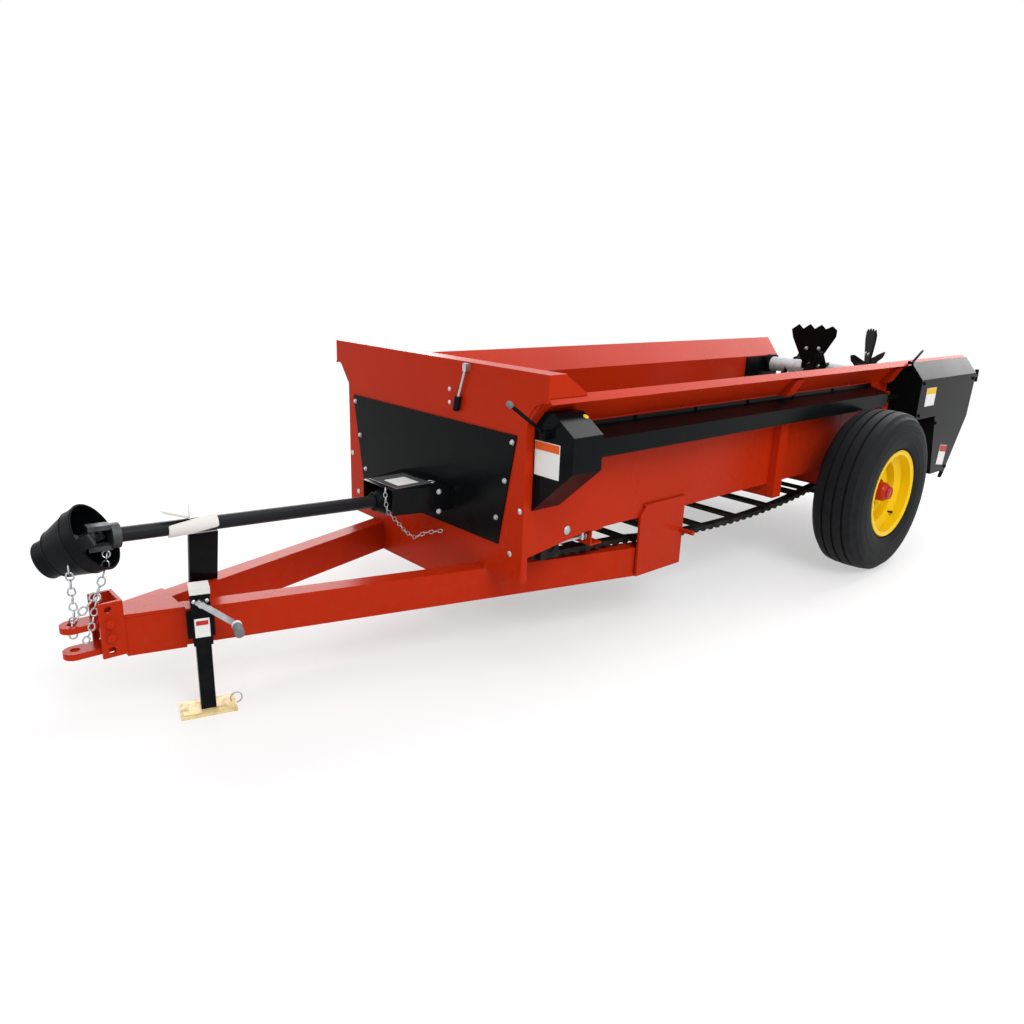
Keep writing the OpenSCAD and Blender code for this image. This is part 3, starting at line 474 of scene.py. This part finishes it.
def set_out(model, places):
    """Copies a model to each place, each with its own mesh, and joins them."""
    copies = []
    for place in places:
        copy = model.copy()
        copy.data = model.data.copy()
        copy.data.transform(place)
        bpy.context.collection.objects.link(copy)
        copies.append(copy)
    bpy.data.objects.remove(model)
    return weld_up(*copies)


def hand_over(piece, name, body, finish=None, sharp=CRISP):
    """Names a piece, gives it a finish unless it has its own, and lets it ride on a body."""
    take_up(piece)
    piece.name = name
    piece.data.name = name
    if finish:
        piece.data.materials.clear()
        piece.data.materials.append(finish)
    bpy.ops.object.shade_smooth_by_angle(angle=radians(sharp))
    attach(piece, body)


def fasten(name, model, places, body="chassis", finish=GALVANISED):
    """Copies of one bolt at each place, handed over as one piece."""
    hand_over(set_out(model, places), name, body, finish)


def turned(radius, height, sides=24):
    """A round bar standing on the floor."""
    clear_bench()
    bpy.ops.mesh.primitive_cylinder_add(
        vertices=sides, radius=radius, depth=height, location=(0, 0, height / 2))
    fix_place()
    return bpy.context.object


def soft_bar(radius, height, sides, edge, segments=2):
    """A round bar standing on the floor, with rounded ends."""
    bar = turned(radius, height, sides)
    soften(bar, edge, segments)
    return bar


def hex_bolt(size):
    """A hexagon head with a crowned top, on a washer."""
    washer = soft_bar(size, 0.16 * size, 20, 0.04 * size)
    head = turned(0.8 * size, 0.68 * size, 6)
    pick_faces(head, top_face)
    bpy.ops.mesh.inset(thickness=0.14 * size)
    bpy.ops.transform.translate(value=(0, 0, 0.1 * size))
    done_editing()
    soften(head, 0.05 * size)
    return weld_up(head, washer)


def round_bolt(size):
    """A low round head, as on a carriage bolt."""
    head = turned(size, 0.14 * size, 20)
    pick_faces(head, top_face)
    for step, rise in ((0.22, 0.16), (0.3, 0.12), (0.24, 0.05)):
        bpy.ops.mesh.inset(thickness=step * size)
        bpy.ops.transform.translate(value=(0, 0, rise * size))
    done_editing()
    return head


def flat_plate(wide, high, thick):
    """A thin plate lying on the floor, with rounded corners and a slightly raised field."""
    clear_bench()
    bpy.ops.mesh.primitive_cube_add(size=1, location=(0, 0, thick / 2), scale=(wide, high, thick))
    fix_place()
    plate = bpy.context.object
    pick_faces(plate, top_face)
    bpy.ops.mesh.inset(thickness=0.05 * min(wide, high))
    bpy.ops.transform.translate(value=(0, 0, 0.2 * thick))
    done_editing()
    soften(plate, 0.3 * thick)
    return plate


def rolled_ring(radius, wire, sides, wire_sides=8):
    """A ring of wire or rolled bead lying on the floor, pressed a little flat."""
    clear_bench()
    bpy.ops.mesh.primitive_torus_add(
        major_segments=sides, minor_segments=wire_sides, major_radius=radius, minor_radius=wire)
    ring = bpy.context.object
    pick_faces(ring, every_face)
    bpy.ops.transform.resize(value=(1, 1, 0.85))
    done_editing()
    return ring


def chain_link(length, wire):
    """One welded link lying on the floor along X."""
    clear_bench()
    wide = 0.32 * length
    bpy.ops.mesh.primitive_torus_add(
        major_segments=14, minor_segments=7, major_radius=wide, minor_radius=wire)
    link = bpy.context.object
    stretch = length - 2 * wide - 2 * wire
    pick_faces(link, lambda centre, normal: centre.x > 0)
    bpy.ops.transform.translate(value=(stretch, 0, 0))
    bpy.ops.mesh.select_all(action="SELECT")
    bpy.ops.transform.translate(value=(-stretch / 2, 0, 0))
    done_editing()
    return link


def hang_chain(name, length, wire, route):
    """Links strung along a route, each turned a quarter from the last."""
    fine_step = 0.0008
    pitch = length - 2.4 * wire
    skew = Vector((0.3, 1, 0.2))
    points = [at(*p) for p in route]
    line = [points[0]]
    for a, b in zip(points, points[1:]):
        count = max(1, round((b - a).length / fine_step))
        line += [a.lerp(b, (i + 1) / count) for i in range(count)]
    places = []
    travelled = 0.0
    last = None
    for a, b in zip(line, line[1:]):
        travelled += (b - a).length
        if last is None or travelled - last >= pitch:
            last = travelled
            way = (b - a).normalized()
            side = way.cross(skew).normalized()
            turn = Matrix((way, side.cross(way) * -1, side)).transposed().to_4x4()
            quarter = Matrix.Rotation(pi / 2 * (len(places) % 2), 4, "X")
            places.append(Matrix.Translation(a) @ turn @ quarter)
    chain = set_out(chain_link(length, wire), places)
    hand_over(chain, name, "chassis", GALVANISED, ROUNDED)


def weld_bead(name, lines, radius=0.005):
    """Overlapping drops of weld along each line."""
    clear_bench()
    bpy.ops.mesh.primitive_ico_sphere_add(subdivisions=2, radius=radius)
    drop = bpy.context.object
    pick_faces(drop, every_face)
    bpy.ops.transform.resize(value=(1.0, 1.0, 0.7))
    done_editing()
    places = []
    for a, b in lines:
        count = max(2, round((b - a).length / (0.9 * radius)))
        for i in range(count):
            swell = 1 + 0.12 * sin(2.4 * i)
            places.append(Matrix.Translation(a.lerp(b, i / (count - 1))) @ Matrix.Scale(swell, 4))
    hand_over(set_out(drop, places), name, "chassis", RED, ROUNDED)


LABEL_THICK = 0.0012


def banded_label(name, place, wide, high, band_high, band_finish):
    """A blank plate with one plain coloured band along its top."""
    plate = flat_plate(wide, high, LABEL_THICK)
    band = flat_plate(0.96 * wide, band_high, 0.0010)
    put(band, Matrix.Translation((0, high / 2 - band_high / 2 - 0.02 * high, LABEL_THICK)))
    plate.data.materials.append(LABEL_WHITE)
    band.data.materials.append(band_finish)
    label = weld_up(plate, band)
    put(label, place)
    hand_over(label, name, "chassis")


# Front panel, cover and hood
def hood_shell():
    """The hood over the input shaft: a splayed box, open below, in front and against the cover."""
    reach = 205
    back_wide = 300
    narrowing = 0.633
    sheet = 0.003
    middle_z = (HOOD_TOP + HOOD_BOTTOM) / 2
    clear_bench()
    bpy.ops.mesh.primitive_cube_add(
        size=1, location=at(COVER_X + reach / 2, 0, middle_z),
        scale=(reach / 1000, back_wide / 1000, (HOOD_TOP - HOOD_BOTTOM) / 1000))
    fix_place()
    hood = bpy.context.object
    pick_faces(hood, lambda centre, normal: normal.x > 0.9)
    bpy.ops.transform.resize(value=(1, narrowing, 1), center_override=at(COVER_X + reach, 0, middle_z))
    done_editing()
    pick_faces(hood, lambda centre, normal: abs(normal.x) > 0.9 or normal.z < -0.9)
    bpy.ops.mesh.delete(type="FACE")
    done_editing()
    wall = hood.modifiers.new("sheet", "SOLIDIFY")
    wall.thickness = sheet
    wall.offset = -1
    bpy.ops.object.modifier_apply(modifier=wall.name)
    soften(hood, 0.001)
    hand_over(hood, "hood_shell", "chassis", GLOSS_BLACK)
    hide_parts("input_hood")


def corner_fillers():
    """A three-cornered plate behind the front panel in each corner of the flare."""
    thick = 0.006
    wide = 0.080
    high = 0.100
    middle_y = 580
    middle_z = 896
    for s, side in ((1, "left"), (-1, "right")):
        clear_bench()
        bpy.ops.mesh.primitive_cube_add(
            size=1, location=at(PANEL_X - 7, s * middle_y, middle_z), scale=(thick, wide, high))
        fix_place()
        plate = bpy.context.object
        pick_points(plate, lambda p: abs(p.y) > middle_y / 1000 and p.z < middle_z / 1000)
        bpy.ops.transform.translate(value=(0, -wide * s, 0))
        bpy.ops.mesh.select_all(action="SELECT")
        bpy.ops.mesh.remove_doubles(threshold=0.0005)
        bpy.ops.mesh.normals_make_consistent(inside=False)
        done_editing()
        soften(plate, 0.0008)
        hand_over(plate, f"corner_filler_{side}", "chassis", RED)


def front_bolts():
    cover = [(COVER_X, s * y, z) for s in (1, -1) for y, z in ((480, 788), (449, 654), (412, 520))]
    panel = [(PANEL_X, s * y, z) for s in (1, -1) for y, z in ((480, 408), (522, 566))]
    rivets = [(PANEL_X, 139, 916), (PANEL_X, 140, 870)]
    hood = [facing(at(2106, s * 140, z), (0.259, s * 0.966, 0)) for s in (1, -1) for z in (553, 480)]
    fasten("cover_bolts", hex_bolt(0.0095), [facing(at(*p), FRONT) for p in cover])
    fasten("panel_bolts", round_bolt(0.0105), [facing(at(*p), FRONT) for p in panel])
    fasten("panel_rivets", round_bolt(0.008), [facing(at(*p), FRONT) for p in rivets])
    fasten("hood_bolts", hex_bolt(0.010), hood)


def hood_trim():
    """The hood's lid, grey as a painted reflection, a white blank label on it as a painted highlight, and a
    wire keeper behind.
    """
    # The lid's grey is a painted reflection
    lid = flat_plate(0.176, 0.150, 0.0025)
    put(lid, facing(at(2178, 0, HOOD_TOP), UP, pi / 2))
    hand_over(lid, "hood_lid_painted_reflection", "chassis", LID_REFLECTION_GREY)
    # This white blank label is a painted highlight on the lid
    label = flat_plate(0.092, 0.088, LABEL_THICK)
    put(label, facing(at(2182, 14, HOOD_TOP + 2.8), UP, pi / 2))
    hand_over(label, "hood_painted_highlight", "chassis", LABEL_WHITE)
    keeper = rolled_ring(0.009, 0.0016, 24)
    pick_faces(keeper, lambda centre, normal: centre.y > 0)
    bpy.ops.transform.translate(value=(0, 0.016, 0))
    done_editing()
    put(keeper, facing(at(2092, 62, HOOD_TOP + 1), UP))
    hand_over(keeper, "hood_keeper", "chassis", GALVANISED)


def rod_grip():
    grip = turned(0.0125, 0.050, 20)
    pick_faces(grip, lambda centre, normal: abs(normal.z) > 0.9)
    bpy.ops.mesh.inset(thickness=0.003)
    done_editing()
    soften(grip, 0.003, 3)
    put(grip, along(at(2076, 192, 850), at(2076, 203, 898)))
    hand_over(grip, "rod_grip", "chassis", GUARD_BLACK)


def case_lever():
    """The control lever on the front case, with its foot block and a small knob."""
    foot = at(2040, LEVER_Y, 832)
    end = at(2192, LEVER_Y, 936)
    arm = soft_bar(0.006, (end - foot).length, 16, 0.001)
    put(arm, along(foot, end))
    clear_bench()
    bpy.ops.mesh.primitive_cube_add(size=1, location=at(2043, LEVER_Y, 829))
    bpy.ops.transform.resize(value=(0.026, 0.024, 0.030))
    fix_place()
    block = bpy.context.object
    soften(block, 0.004, 3)
    lever = weld_up(arm, block)
    hand_over(lever, "lever_arm", "chassis", BLACK)
    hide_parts("control_lever")
    knob = soft_bar(0.0095, 0.022, 20, 0.006, 4)
    put(knob, along(at(2184, LEVER_Y, 930.5), end))
    hand_over(knob, "lever_knob", "chassis", GRIP_GREY, ROUNDED)


# Hitch, tongue and jack
def tongue_trim():
    bolts = [facing(at(3200, s * 52, z), (0, s, 0)) for s in (1, -1) for z in (271, 313)]
    fasten("hitch_bolts", hex_bolt(0.017), bolts, finish=RED)
    nose = [(at(3005, s * 34, TONGUE_TOP), at(3005, s * 90, TONGUE_TOP)) for s in (1, -1)]
    nose += [(at(3160, s * 46, TONGUE_TOP), at(3008, s * 89.5, TONGUE_TOP)) for s in (1, -1)]
    weld_bead("nose_welds", nose)
    brackets = [(at(1210, s * 546, 490), at(1446, s * 546, 490)) for s in (1, -1)]
    foot_z = TONGUE_TOP + 1
    brackets += [(at(PANEL_X, s * 360, foot_z), at(PANEL_X, s * 300, foot_z)) for s in (1, -1)]
    weld_bead("bracket_welds", brackets)


JACK_X = 2974.2
JACK_Y = 139.65
TONGUE_RUN = 0.9615
TONGUE_SPLAY = 0.275
TONGUE_TURN = -0.2786
JACK_OUT = (TONGUE_SPLAY, TONGUE_RUN, 0)
CRANK_BACK = -93.5
CRANK_Z = 283.6


def jack_point(along_tongue, out, up):
    """A point in the jack's own lines: forward along the tongue, away from it, and up."""
    return at(JACK_X + TONGUE_RUN * along_tongue + TONGUE_SPLAY * out,
              JACK_Y - TONGUE_SPLAY * along_tongue + TONGUE_RUN * out, up)


def jack_label():
    """A blank plate on the jack's tube, with a plain red patch."""
    plate = flat_plate(0.042, 0.060, LABEL_THICK)
    band = flat_plate(0.034, 0.014, 0.0008)
    put(band, Matrix.Translation((0, 0.016, LABEL_THICK)))
    plate.data.materials.append(LABEL_WHITE)
    band.data.materials.append(LABEL_RED)
    label = weld_up(plate, band)
    put(label, upright(jack_point(0, 27, 281), JACK_OUT))
    hand_over(label, "jack_label", "chassis")


def crank_grip():
    grip = turned(0.0145, 0.054, 24)
    pick_faces(grip, lambda centre, normal: abs(normal.z) < 0.1)
    bpy.ops.mesh.subdivide(number_cuts=4)
    done_editing()
    soften(grip, 0.003, 3)
    put(grip, along(jack_point(CRANK_BACK, 60, CRANK_Z), jack_point(CRANK_BACK, 114, CRANK_Z)))
    hand_over(grip, "crank_grip", "chassis", GRIP_GREY)
    collar = soft_bar(0.015, 0.014, 24, 0.005, 3)
    put(collar, along(jack_point(CRANK_BACK, 44, CRANK_Z), jack_point(CRANK_BACK, 58, CRANK_Z)))
    hand_over(collar, "crank_collar", "chassis", PALE)


def jack_trim():
    """The ring and plate on the jack's foot, and rivets under its cap."""
    bail = rolled_ring(0.017, 0.0022, 28)
    put(bail, facing(jack_point(-82, 0, 20), JACK_OUT))
    hand_over(bail, "foot_bail", "jack_leg", GALVANISED)
    plate = flat_plate(0.150, 0.086, 0.0015)
    put(plate, Matrix.Translation(jack_point(0, 0, 10)) @ Matrix.Rotation(TONGUE_TURN, 4, "Z"))
    hand_over(plate, "foot_top", "jack_leg", ZINC_GOLD)
    fasten("jack_rivets", round_bolt(0.006), [facing(jack_point(x, 27, 365), JACK_OUT) for x in (-18, 18)])


# Driveline
BELL_AXIS = (0.71159, -0.53622, -0.45399)
TUBE_WAY = (0.99884, 0, 0.04806)


def bell_point(ahead):
    """A point on the axis of the hanging bell, in millimetres from the joint inside it."""
    return at(3206 + BELL_AXIS[0] * ahead, BELL_AXIS[1] * ahead, 557 + BELL_AXIS[2] * ahead)


def bell_rings():
    rings = (("bell_rim", -9, 0.0985, 0.003), ("bell_rib", 28, 0.0935, 0.0022),
             ("bell_collar", 103, 0.0695, 0.0028), ("bell_mouth", 146, 0.0545, 0.0026))
    for name, ahead, radius, bead in rings:
        ring = put(rolled_ring(radius, bead, 64), facing(bell_point(ahead), BELL_AXIS))
        hand_over(ring, name, "chassis", GUARD_BLACK, ROUNDED)


def short_chains():
    """The eye under the joint, three hanging runs of chain at the bell and one at the hood."""
    eye = put(rolled_ring(0.010, 0.0024, 20), facing(at(3178, 12, 507), (0.3, 0.9, 0.2)))
    hand_over(eye, "joint_eye", "chassis", GALVANISED)
    hang_chain("bell_chain_front", 0.030, 0.0026, [
        (3282, 42, 495), (3281, 36, 450), (3280, 27, 397), (3280, 20, 348), (3284, 7, 322), (3285, 1, 300),
        (3284, 2, 262)])
    hang_chain("bell_chain_rear", 0.030, 0.0026, [
        (3178, 13, 499), (3187, 15, 462), (3206, 20, 416), (3236, 21, 376), (3262, 18, 350), (3276, 12, 328)])
    hang_chain("bell_chain_tail", 0.026, 0.0024, [
        (3210, 21, 408), (3228, 30, 360), (3238, 37, 326), (3248, 40, 298), (3262, 34, 270)])
    hang_chain("hood_chain", 0.020, 0.0016, [
        (2278, 57, 566), (2281, 63, 532), (2277, 66, 494), (2262, 67, 474), (2240, 70, 450), (2190, 55, 394),
        (2150, 54, 366), (2112, 70, 382), (2064, 114, 392)])


def tag_and_strap():
    """A card tag above the shield tube, on a thin strap round it."""
    tag = flat_plate(0.082, 0.034, 0.0012)
    put(tag, Matrix.Translation(at(2975, 4, 584)) @ Matrix.Rotation(radians(-21), 4, "Y"))
    hand_over(tag, "driveline_tag", "chassis", TAG_CARD)
    strap = put(rolled_ring(0.0242, 0.0016, 40), facing(at(2936, 0, 544), TUBE_WAY))
    tail = put(flat_plate(0.0045, 0.044, 0.0012), upright(at(2937, 5, 588), LEFT))
    hand_over(weld_up(strap, tail), "tag_strap", "chassis", PALE, ROUNDED)


def pale_wrap():
    """A folded pale strip laid along the shield tube and turning a little round it."""
    radius = 0.0232
    length = 0.150
    thick = 0.007
    middle = Vector((cos(radians(108)), sin(radians(108)), 0))
    half_width = cos(radians(56))
    clear_bench()
    bpy.ops.mesh.primitive_circle_add(vertices=36, radius=radius)
    wrap = bpy.context.object
    pick_points(wrap, lambda p: p.normalized().dot(middle) < half_width)
    bpy.ops.mesh.delete(type="VERT")
    done_editing()
    turn = wrap.modifiers.new("turn", "SCREW")
    turn.angle = radians(-58)
    turn.screw_offset = length
    turn.steps = turn.render_steps = 12
    bpy.ops.object.modifier_apply(modifier=turn.name)
    pick_faces(wrap, every_face)
    bpy.ops.mesh.normals_make_consistent(inside=False)
    done_editing()
    face = wrap.data.polygons[0]
    faces_out = face.normal.dot(face.center * Vector((1, 1, 0))) > 0
    cloth = wrap.modifiers.new("cloth", "SOLIDIFY")
    cloth.thickness = thick
    cloth.offset = 1 if faces_out else -1
    bpy.ops.object.modifier_apply(modifier=cloth.name)
    soft = wrap.modifiers.new("soft", "SUBSURF")
    soft.levels = soft.render_levels = 2
    bpy.ops.object.modifier_apply(modifier=soft.name)
    put(wrap, along(at(3006, 0, 547.4), at(2856, 0, 540.2)))
    hand_over(wrap, "driveline_wrap", "chassis", PALE, ROUNDED)
    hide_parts("pto_tie")


def cone_collar():
    collar = put(rolled_ring(0.031, 0.0035, 40), facing(at(2291, 0, 513), TUBE_WAY))
    hand_over(collar, "cone_collar", "chassis", GUARD_BLACK, ROUNDED)


# Box sides and drive guards
def case_labels():
    front = upright(at(FRONT_CASE_X, 602, 749), FRONT)
    rear = upright(at(-626, CASE_Y, 770), LEFT)
    boot = upright(at(-930, CASE_Y, 426), LEFT) @ Matrix.Rotation(radians(-9), 4, "Z")
    banded_label("front_case_label", front, 0.112, 0.112, 0.026, LABEL_ORANGE)
    banded_label("rear_case_label", rear, 0.120, 0.094, 0.030, LABEL_YELLOW)
    banded_label("rear_boot_label", boot, 0.096, 0.110, 0.034, LABEL_RED)
    spot = put(round_bolt(0.010), facing(at(1912, 646, 883), (0, 0.555, 0.832)))
    hand_over(spot, "case_marker", "chassis", LABEL_YELLOW)


def wall_bolts():
    shield = [facing(at(x, WALL_Y + 4, 833), LEFT) for x in range(-260, 1900, 360)]
    fasten("shield_bolts", hex_bolt(0.009), shield, finish=BLACK)
    pins = [facing(at(1856, s * WALL_Y, 468), (0, s, 0)) for s in (1, -1)]
    fasten("idler_pins", round_bolt(0.016), pins)


def chain_adjusters():
    """On each side, a threaded rod with two nuts through an ear, to draw the front idler forward."""
    rod_z = 421
    pieces = []
    for s in (1, -1):
        y = s * APRON_Y
        pieces.append(put(turned(0.006, 0.150, 12), along(at(1889, y, rod_z), at(1739, y, rod_z))))
        for x in (1762, 1748):
            pieces.append(put(hex_bolt(0.012), facing(at(x, y, rod_z), BACK)))
        pieces.append(put(flat_plate(0.030, 0.054, 0.008), upright(at(1764, y, 440), FRONT)))
    hand_over(weld_up(*pieces), "chain_adjusters", "chassis", GALVANISED)


def case_latches():
    """T-shaped stubs at the top and the bottom of the rear case, the upper one on a longer shank."""
    bar_z = 0.052
    bar_long = 0.070
    stub = soft_bar(0.011, 0.056, 16, 0.002)
    across = Matrix.Rotation(pi / 2, 4, "Y") @ Matrix.Translation((0, 0, -bar_long / 2))
    bar = put(turned(0.010, bar_long, 16), Matrix.Translation((0, 0, bar_z)) @ across)
    soften(bar, 0.002)
    upper = facing(at(-1248, LATCH_Y, 838), (-1, 0, 0.05))
    lower = facing(at(-1012, LATCH_Y, 338), (-0.8, 0, -0.6))
    model = weld_up(stub, bar)
    shank = soft_bar(0.011, 0.042, 16, 0.002)
    put(shank, along(at(-1210, LATCH_Y, 836), at(-1252, LATCH_Y, 838)))
    latches = weld_up(set_out(model, (upper, lower)), shank)
    hand_over(latches, "case_latches", "chassis", GUARD_BLACK)


def case_prop():
    """The rod that props the rear case, on a pivot in the side's lip."""
    rod = soft_bar(0.006, 0.118, 14, 0.002)
    put(rod, along(at(-472, 655, 946), at(-577, 655, 1002)))
    pivot = soft_bar(0.008, 0.026, 16, 0.001)
    put(pivot, along(at(-472, 636, 945), at(-472, 662, 945)))
    hand_over(weld_up(rod, pivot), "case_prop", "chassis", BLACK)


def case_bolts():
    spots = ((-520, 845), (-1185, 835), (-520, 680), (-760, 620), (-1010, 350))
    edges = [facing(at(x, CASE_Y, z), LEFT) for x, z in spots]
    fasten("case_bolts", hex_bolt(0.010), edges, finish=BLACK)


# Wheels and beater
def wheel_trim():
    """Lug nuts, a valve with its cap and a ring round the hub's cap on each wheel."""
    nut_circle = 63
    valve_off = 121
    angles = [pi / 6 + pi / 3 * i for i in range(6)]
    for s, body in ((1, "wheel_left"), (-1, "wheel_right")):
        out = (0, s, 0)
        nuts = [facing(at(nut_circle * cos(a), s * (WHEEL_Y + 15), AXLE_Z + nut_circle * sin(a)), out)
                for a in angles]
        fasten(f"{body}_nuts", hex_bolt(0.013), nuts, body, HUB_RED)
        stem = turned(0.0045, 0.024, 14)
        cap = put(soft_bar(0.0058, 0.010, 14, 0.0015), Matrix.Translation((0, 0, 0.020)))
        valve = weld_up(stem, cap)
        put(valve, facing(at(-valve_off, s * (WHEEL_Y + 38), AXLE_Z - valve_off), out))
        hand_over(valve, f"{body}_valve", body, GUARD_BLACK)
        ring = put(rolled_ring(0.0284, 0.003, 40), facing(at(0, s * (WHEEL_Y + 87), AXLE_Z), out))
        hand_over(ring, f"{body}_cap_ring", body, HUB_RED, ROUNDED)


def paddle_bolts():
    """Two bolts through each paddle's blade, with a head on both faces."""
    paddles = 10
    span_y = 824
    twist = radians(35)
    across = 0.042
    reach = 0.122
    half_blade = 0.004
    places = []
    for i in range(paddles):
        y = -span_y / 2 + i * span_y / (paddles - 1)
        side = 1 if y > 0 else -1
        home = (Matrix.Translation(at(BEATER_X, y, BEATER_Z)) @ Matrix.Rotation(pi / 2 * (i + 2), 4, "Y")
                @ Matrix.Rotation(side * twist, 4, "Z") @ Matrix.Rotation(pi / 2, 4, "X"))
        for x in (-across, across):
            places.append(home @ Matrix.Translation((x, reach, half_blade)))
            places.append(home @ Matrix.Translation((x, reach, -half_blade)) @ Matrix.Rotation(pi, 4, "X"))
    fasten("paddle_bolts", hex_bolt(0.012), places, "beater")


# Floor, sky and light
WHITE = (1, 1, 1, 1)


def studio_floor():
    """A pale floor that fades to plain white away from the machine."""
    shade_from = 2.6
    white_from = 6.0
    clear_bench()
    bpy.ops.mesh.primitive_plane_add(size=160, location=(0, 0, 0))
    floor = bpy.context.object
    floor.name = "studio_floor"
    material = bpy.data.materials.new("studio_floor")
    material.use_nodes = True
    tree = material.node_tree
    tree.nodes.clear()
    out = tree.nodes.new("ShaderNodeOutputMaterial")
    cloth = tree.nodes.new("ShaderNodeBsdfDiffuse")
    cloth.inputs["Color"].default_value = (0.9, 0.9, 0.9, 1)
    glow = tree.nodes.new("ShaderNodeEmission")
    glow.inputs["Color"].default_value = WHITE
    glow.inputs["Strength"].default_value = 1.0
    rays = tree.nodes.new("ShaderNodeLightPath")
    seen = combine(tree, "MAXIMUM", rays.outputs["Is Camera Ray"], rays.outputs["Is Glossy Ray"])
    reach = tree.nodes.new("ShaderNodeVectorMath")
    reach.operation = "LENGTH"
    tree.links.new(object_place(tree), reach.inputs[0])
    far = span(tree, reach.outputs["Value"], shade_from, white_from, to_low=0.5, to_high=1.0)
    mix = tree.nodes.new("ShaderNodeMixShader")
    tree.links.new(combine(tree, "MULTIPLY", seen, far), mix.inputs[0])
    tree.links.new(cloth.outputs[0], mix.inputs[1])
    tree.links.new(glow.outputs[0], mix.inputs[2])
    tree.links.new(mix.outputs[0], out.inputs["Surface"])
    floor.data.materials.append(material)


def studio_sky():
    """A soft even sky that lights weakly and is seen as plain white."""
    world = bpy.data.worlds.new("studio_sky")
    bpy.context.scene.world = world
    world.use_nodes = True
    tree = world.node_tree
    tree.nodes.clear()
    out = tree.nodes.new("ShaderNodeOutputWorld")
    rays = tree.nodes.new("ShaderNodeLightPath")
    seen = combine(tree, "MAXIMUM", rays.outputs["Is Camera Ray"], rays.outputs["Is Glossy Ray"])
    seen = combine(tree, "MAXIMUM", seen, rays.outputs["Is Transmission Ray"])
    mix = tree.nodes.new("ShaderNodeMixShader")
    tree.links.new(seen, mix.inputs[0])
    for socket, strength in ((mix.inputs[1], 0.4), (mix.inputs[2], 1.0)):
        sky = tree.nodes.new("ShaderNodeBackground")
        sky.inputs["Color"].default_value = WHITE
        sky.inputs["Strength"].default_value = strength
        tree.links.new(sky.outputs[0], socket)
    tree.links.new(mix.outputs[0], out.inputs["Surface"])


def studio_lamps():
    """Area lamps, each with its place, width, height and power, aimed at the middle of the machine."""
    middle = Vector((0, 0, 0.5))
    lamps = (("key_light", (2.0, 5.2, 5.4), 4.0, 4.0, 300), ("top_light", (-0.6, 0.6, 6.5), 5.0, 5.0, 110),
             ("front_fill", (6.5, -1.5, 3.0), 4.0, 4.0, 75), ("back_light", (-5.8, 0.0, 4.6), 3.4, 6.0, 380),
             ("right_light", (-1.2, -6.4, 3.4), 5.0, 3.2, 280))
    for name, spot, wide, high, power in lamps:
        data = bpy.data.lights.new(name, "AREA")
        data.shape = "RECTANGLE"
        data.size = wide
        data.size_y = high
        data.energy = power
        lamp = bpy.data.objects.new(name, data)
        bpy.context.collection.objects.link(lamp)
        aim = middle - Vector(spot)
        lamp.matrix_world = Matrix.Translation(spot) @ aim.to_track_quat("-Z", "Y").to_matrix().to_4x4()


set_camera()
hood_shell()
corner_fillers()
front_bolts()
hood_trim()
rod_grip()
case_lever()
tongue_trim()
jack_label()
crank_grip()
jack_trim()
bell_rings()
short_chains()
tag_and_strap()
pale_wrap()
cone_collar()
case_labels()
wall_bolts()
chain_adjusters()
case_latches()
case_prop()
case_bolts()
wheel_trim()
paddle_bolts()
studio_floor()
studio_sky()
studio_lamps()
bpy.context.scene.view_settings.view_transform = "Standard"
clear_bench()
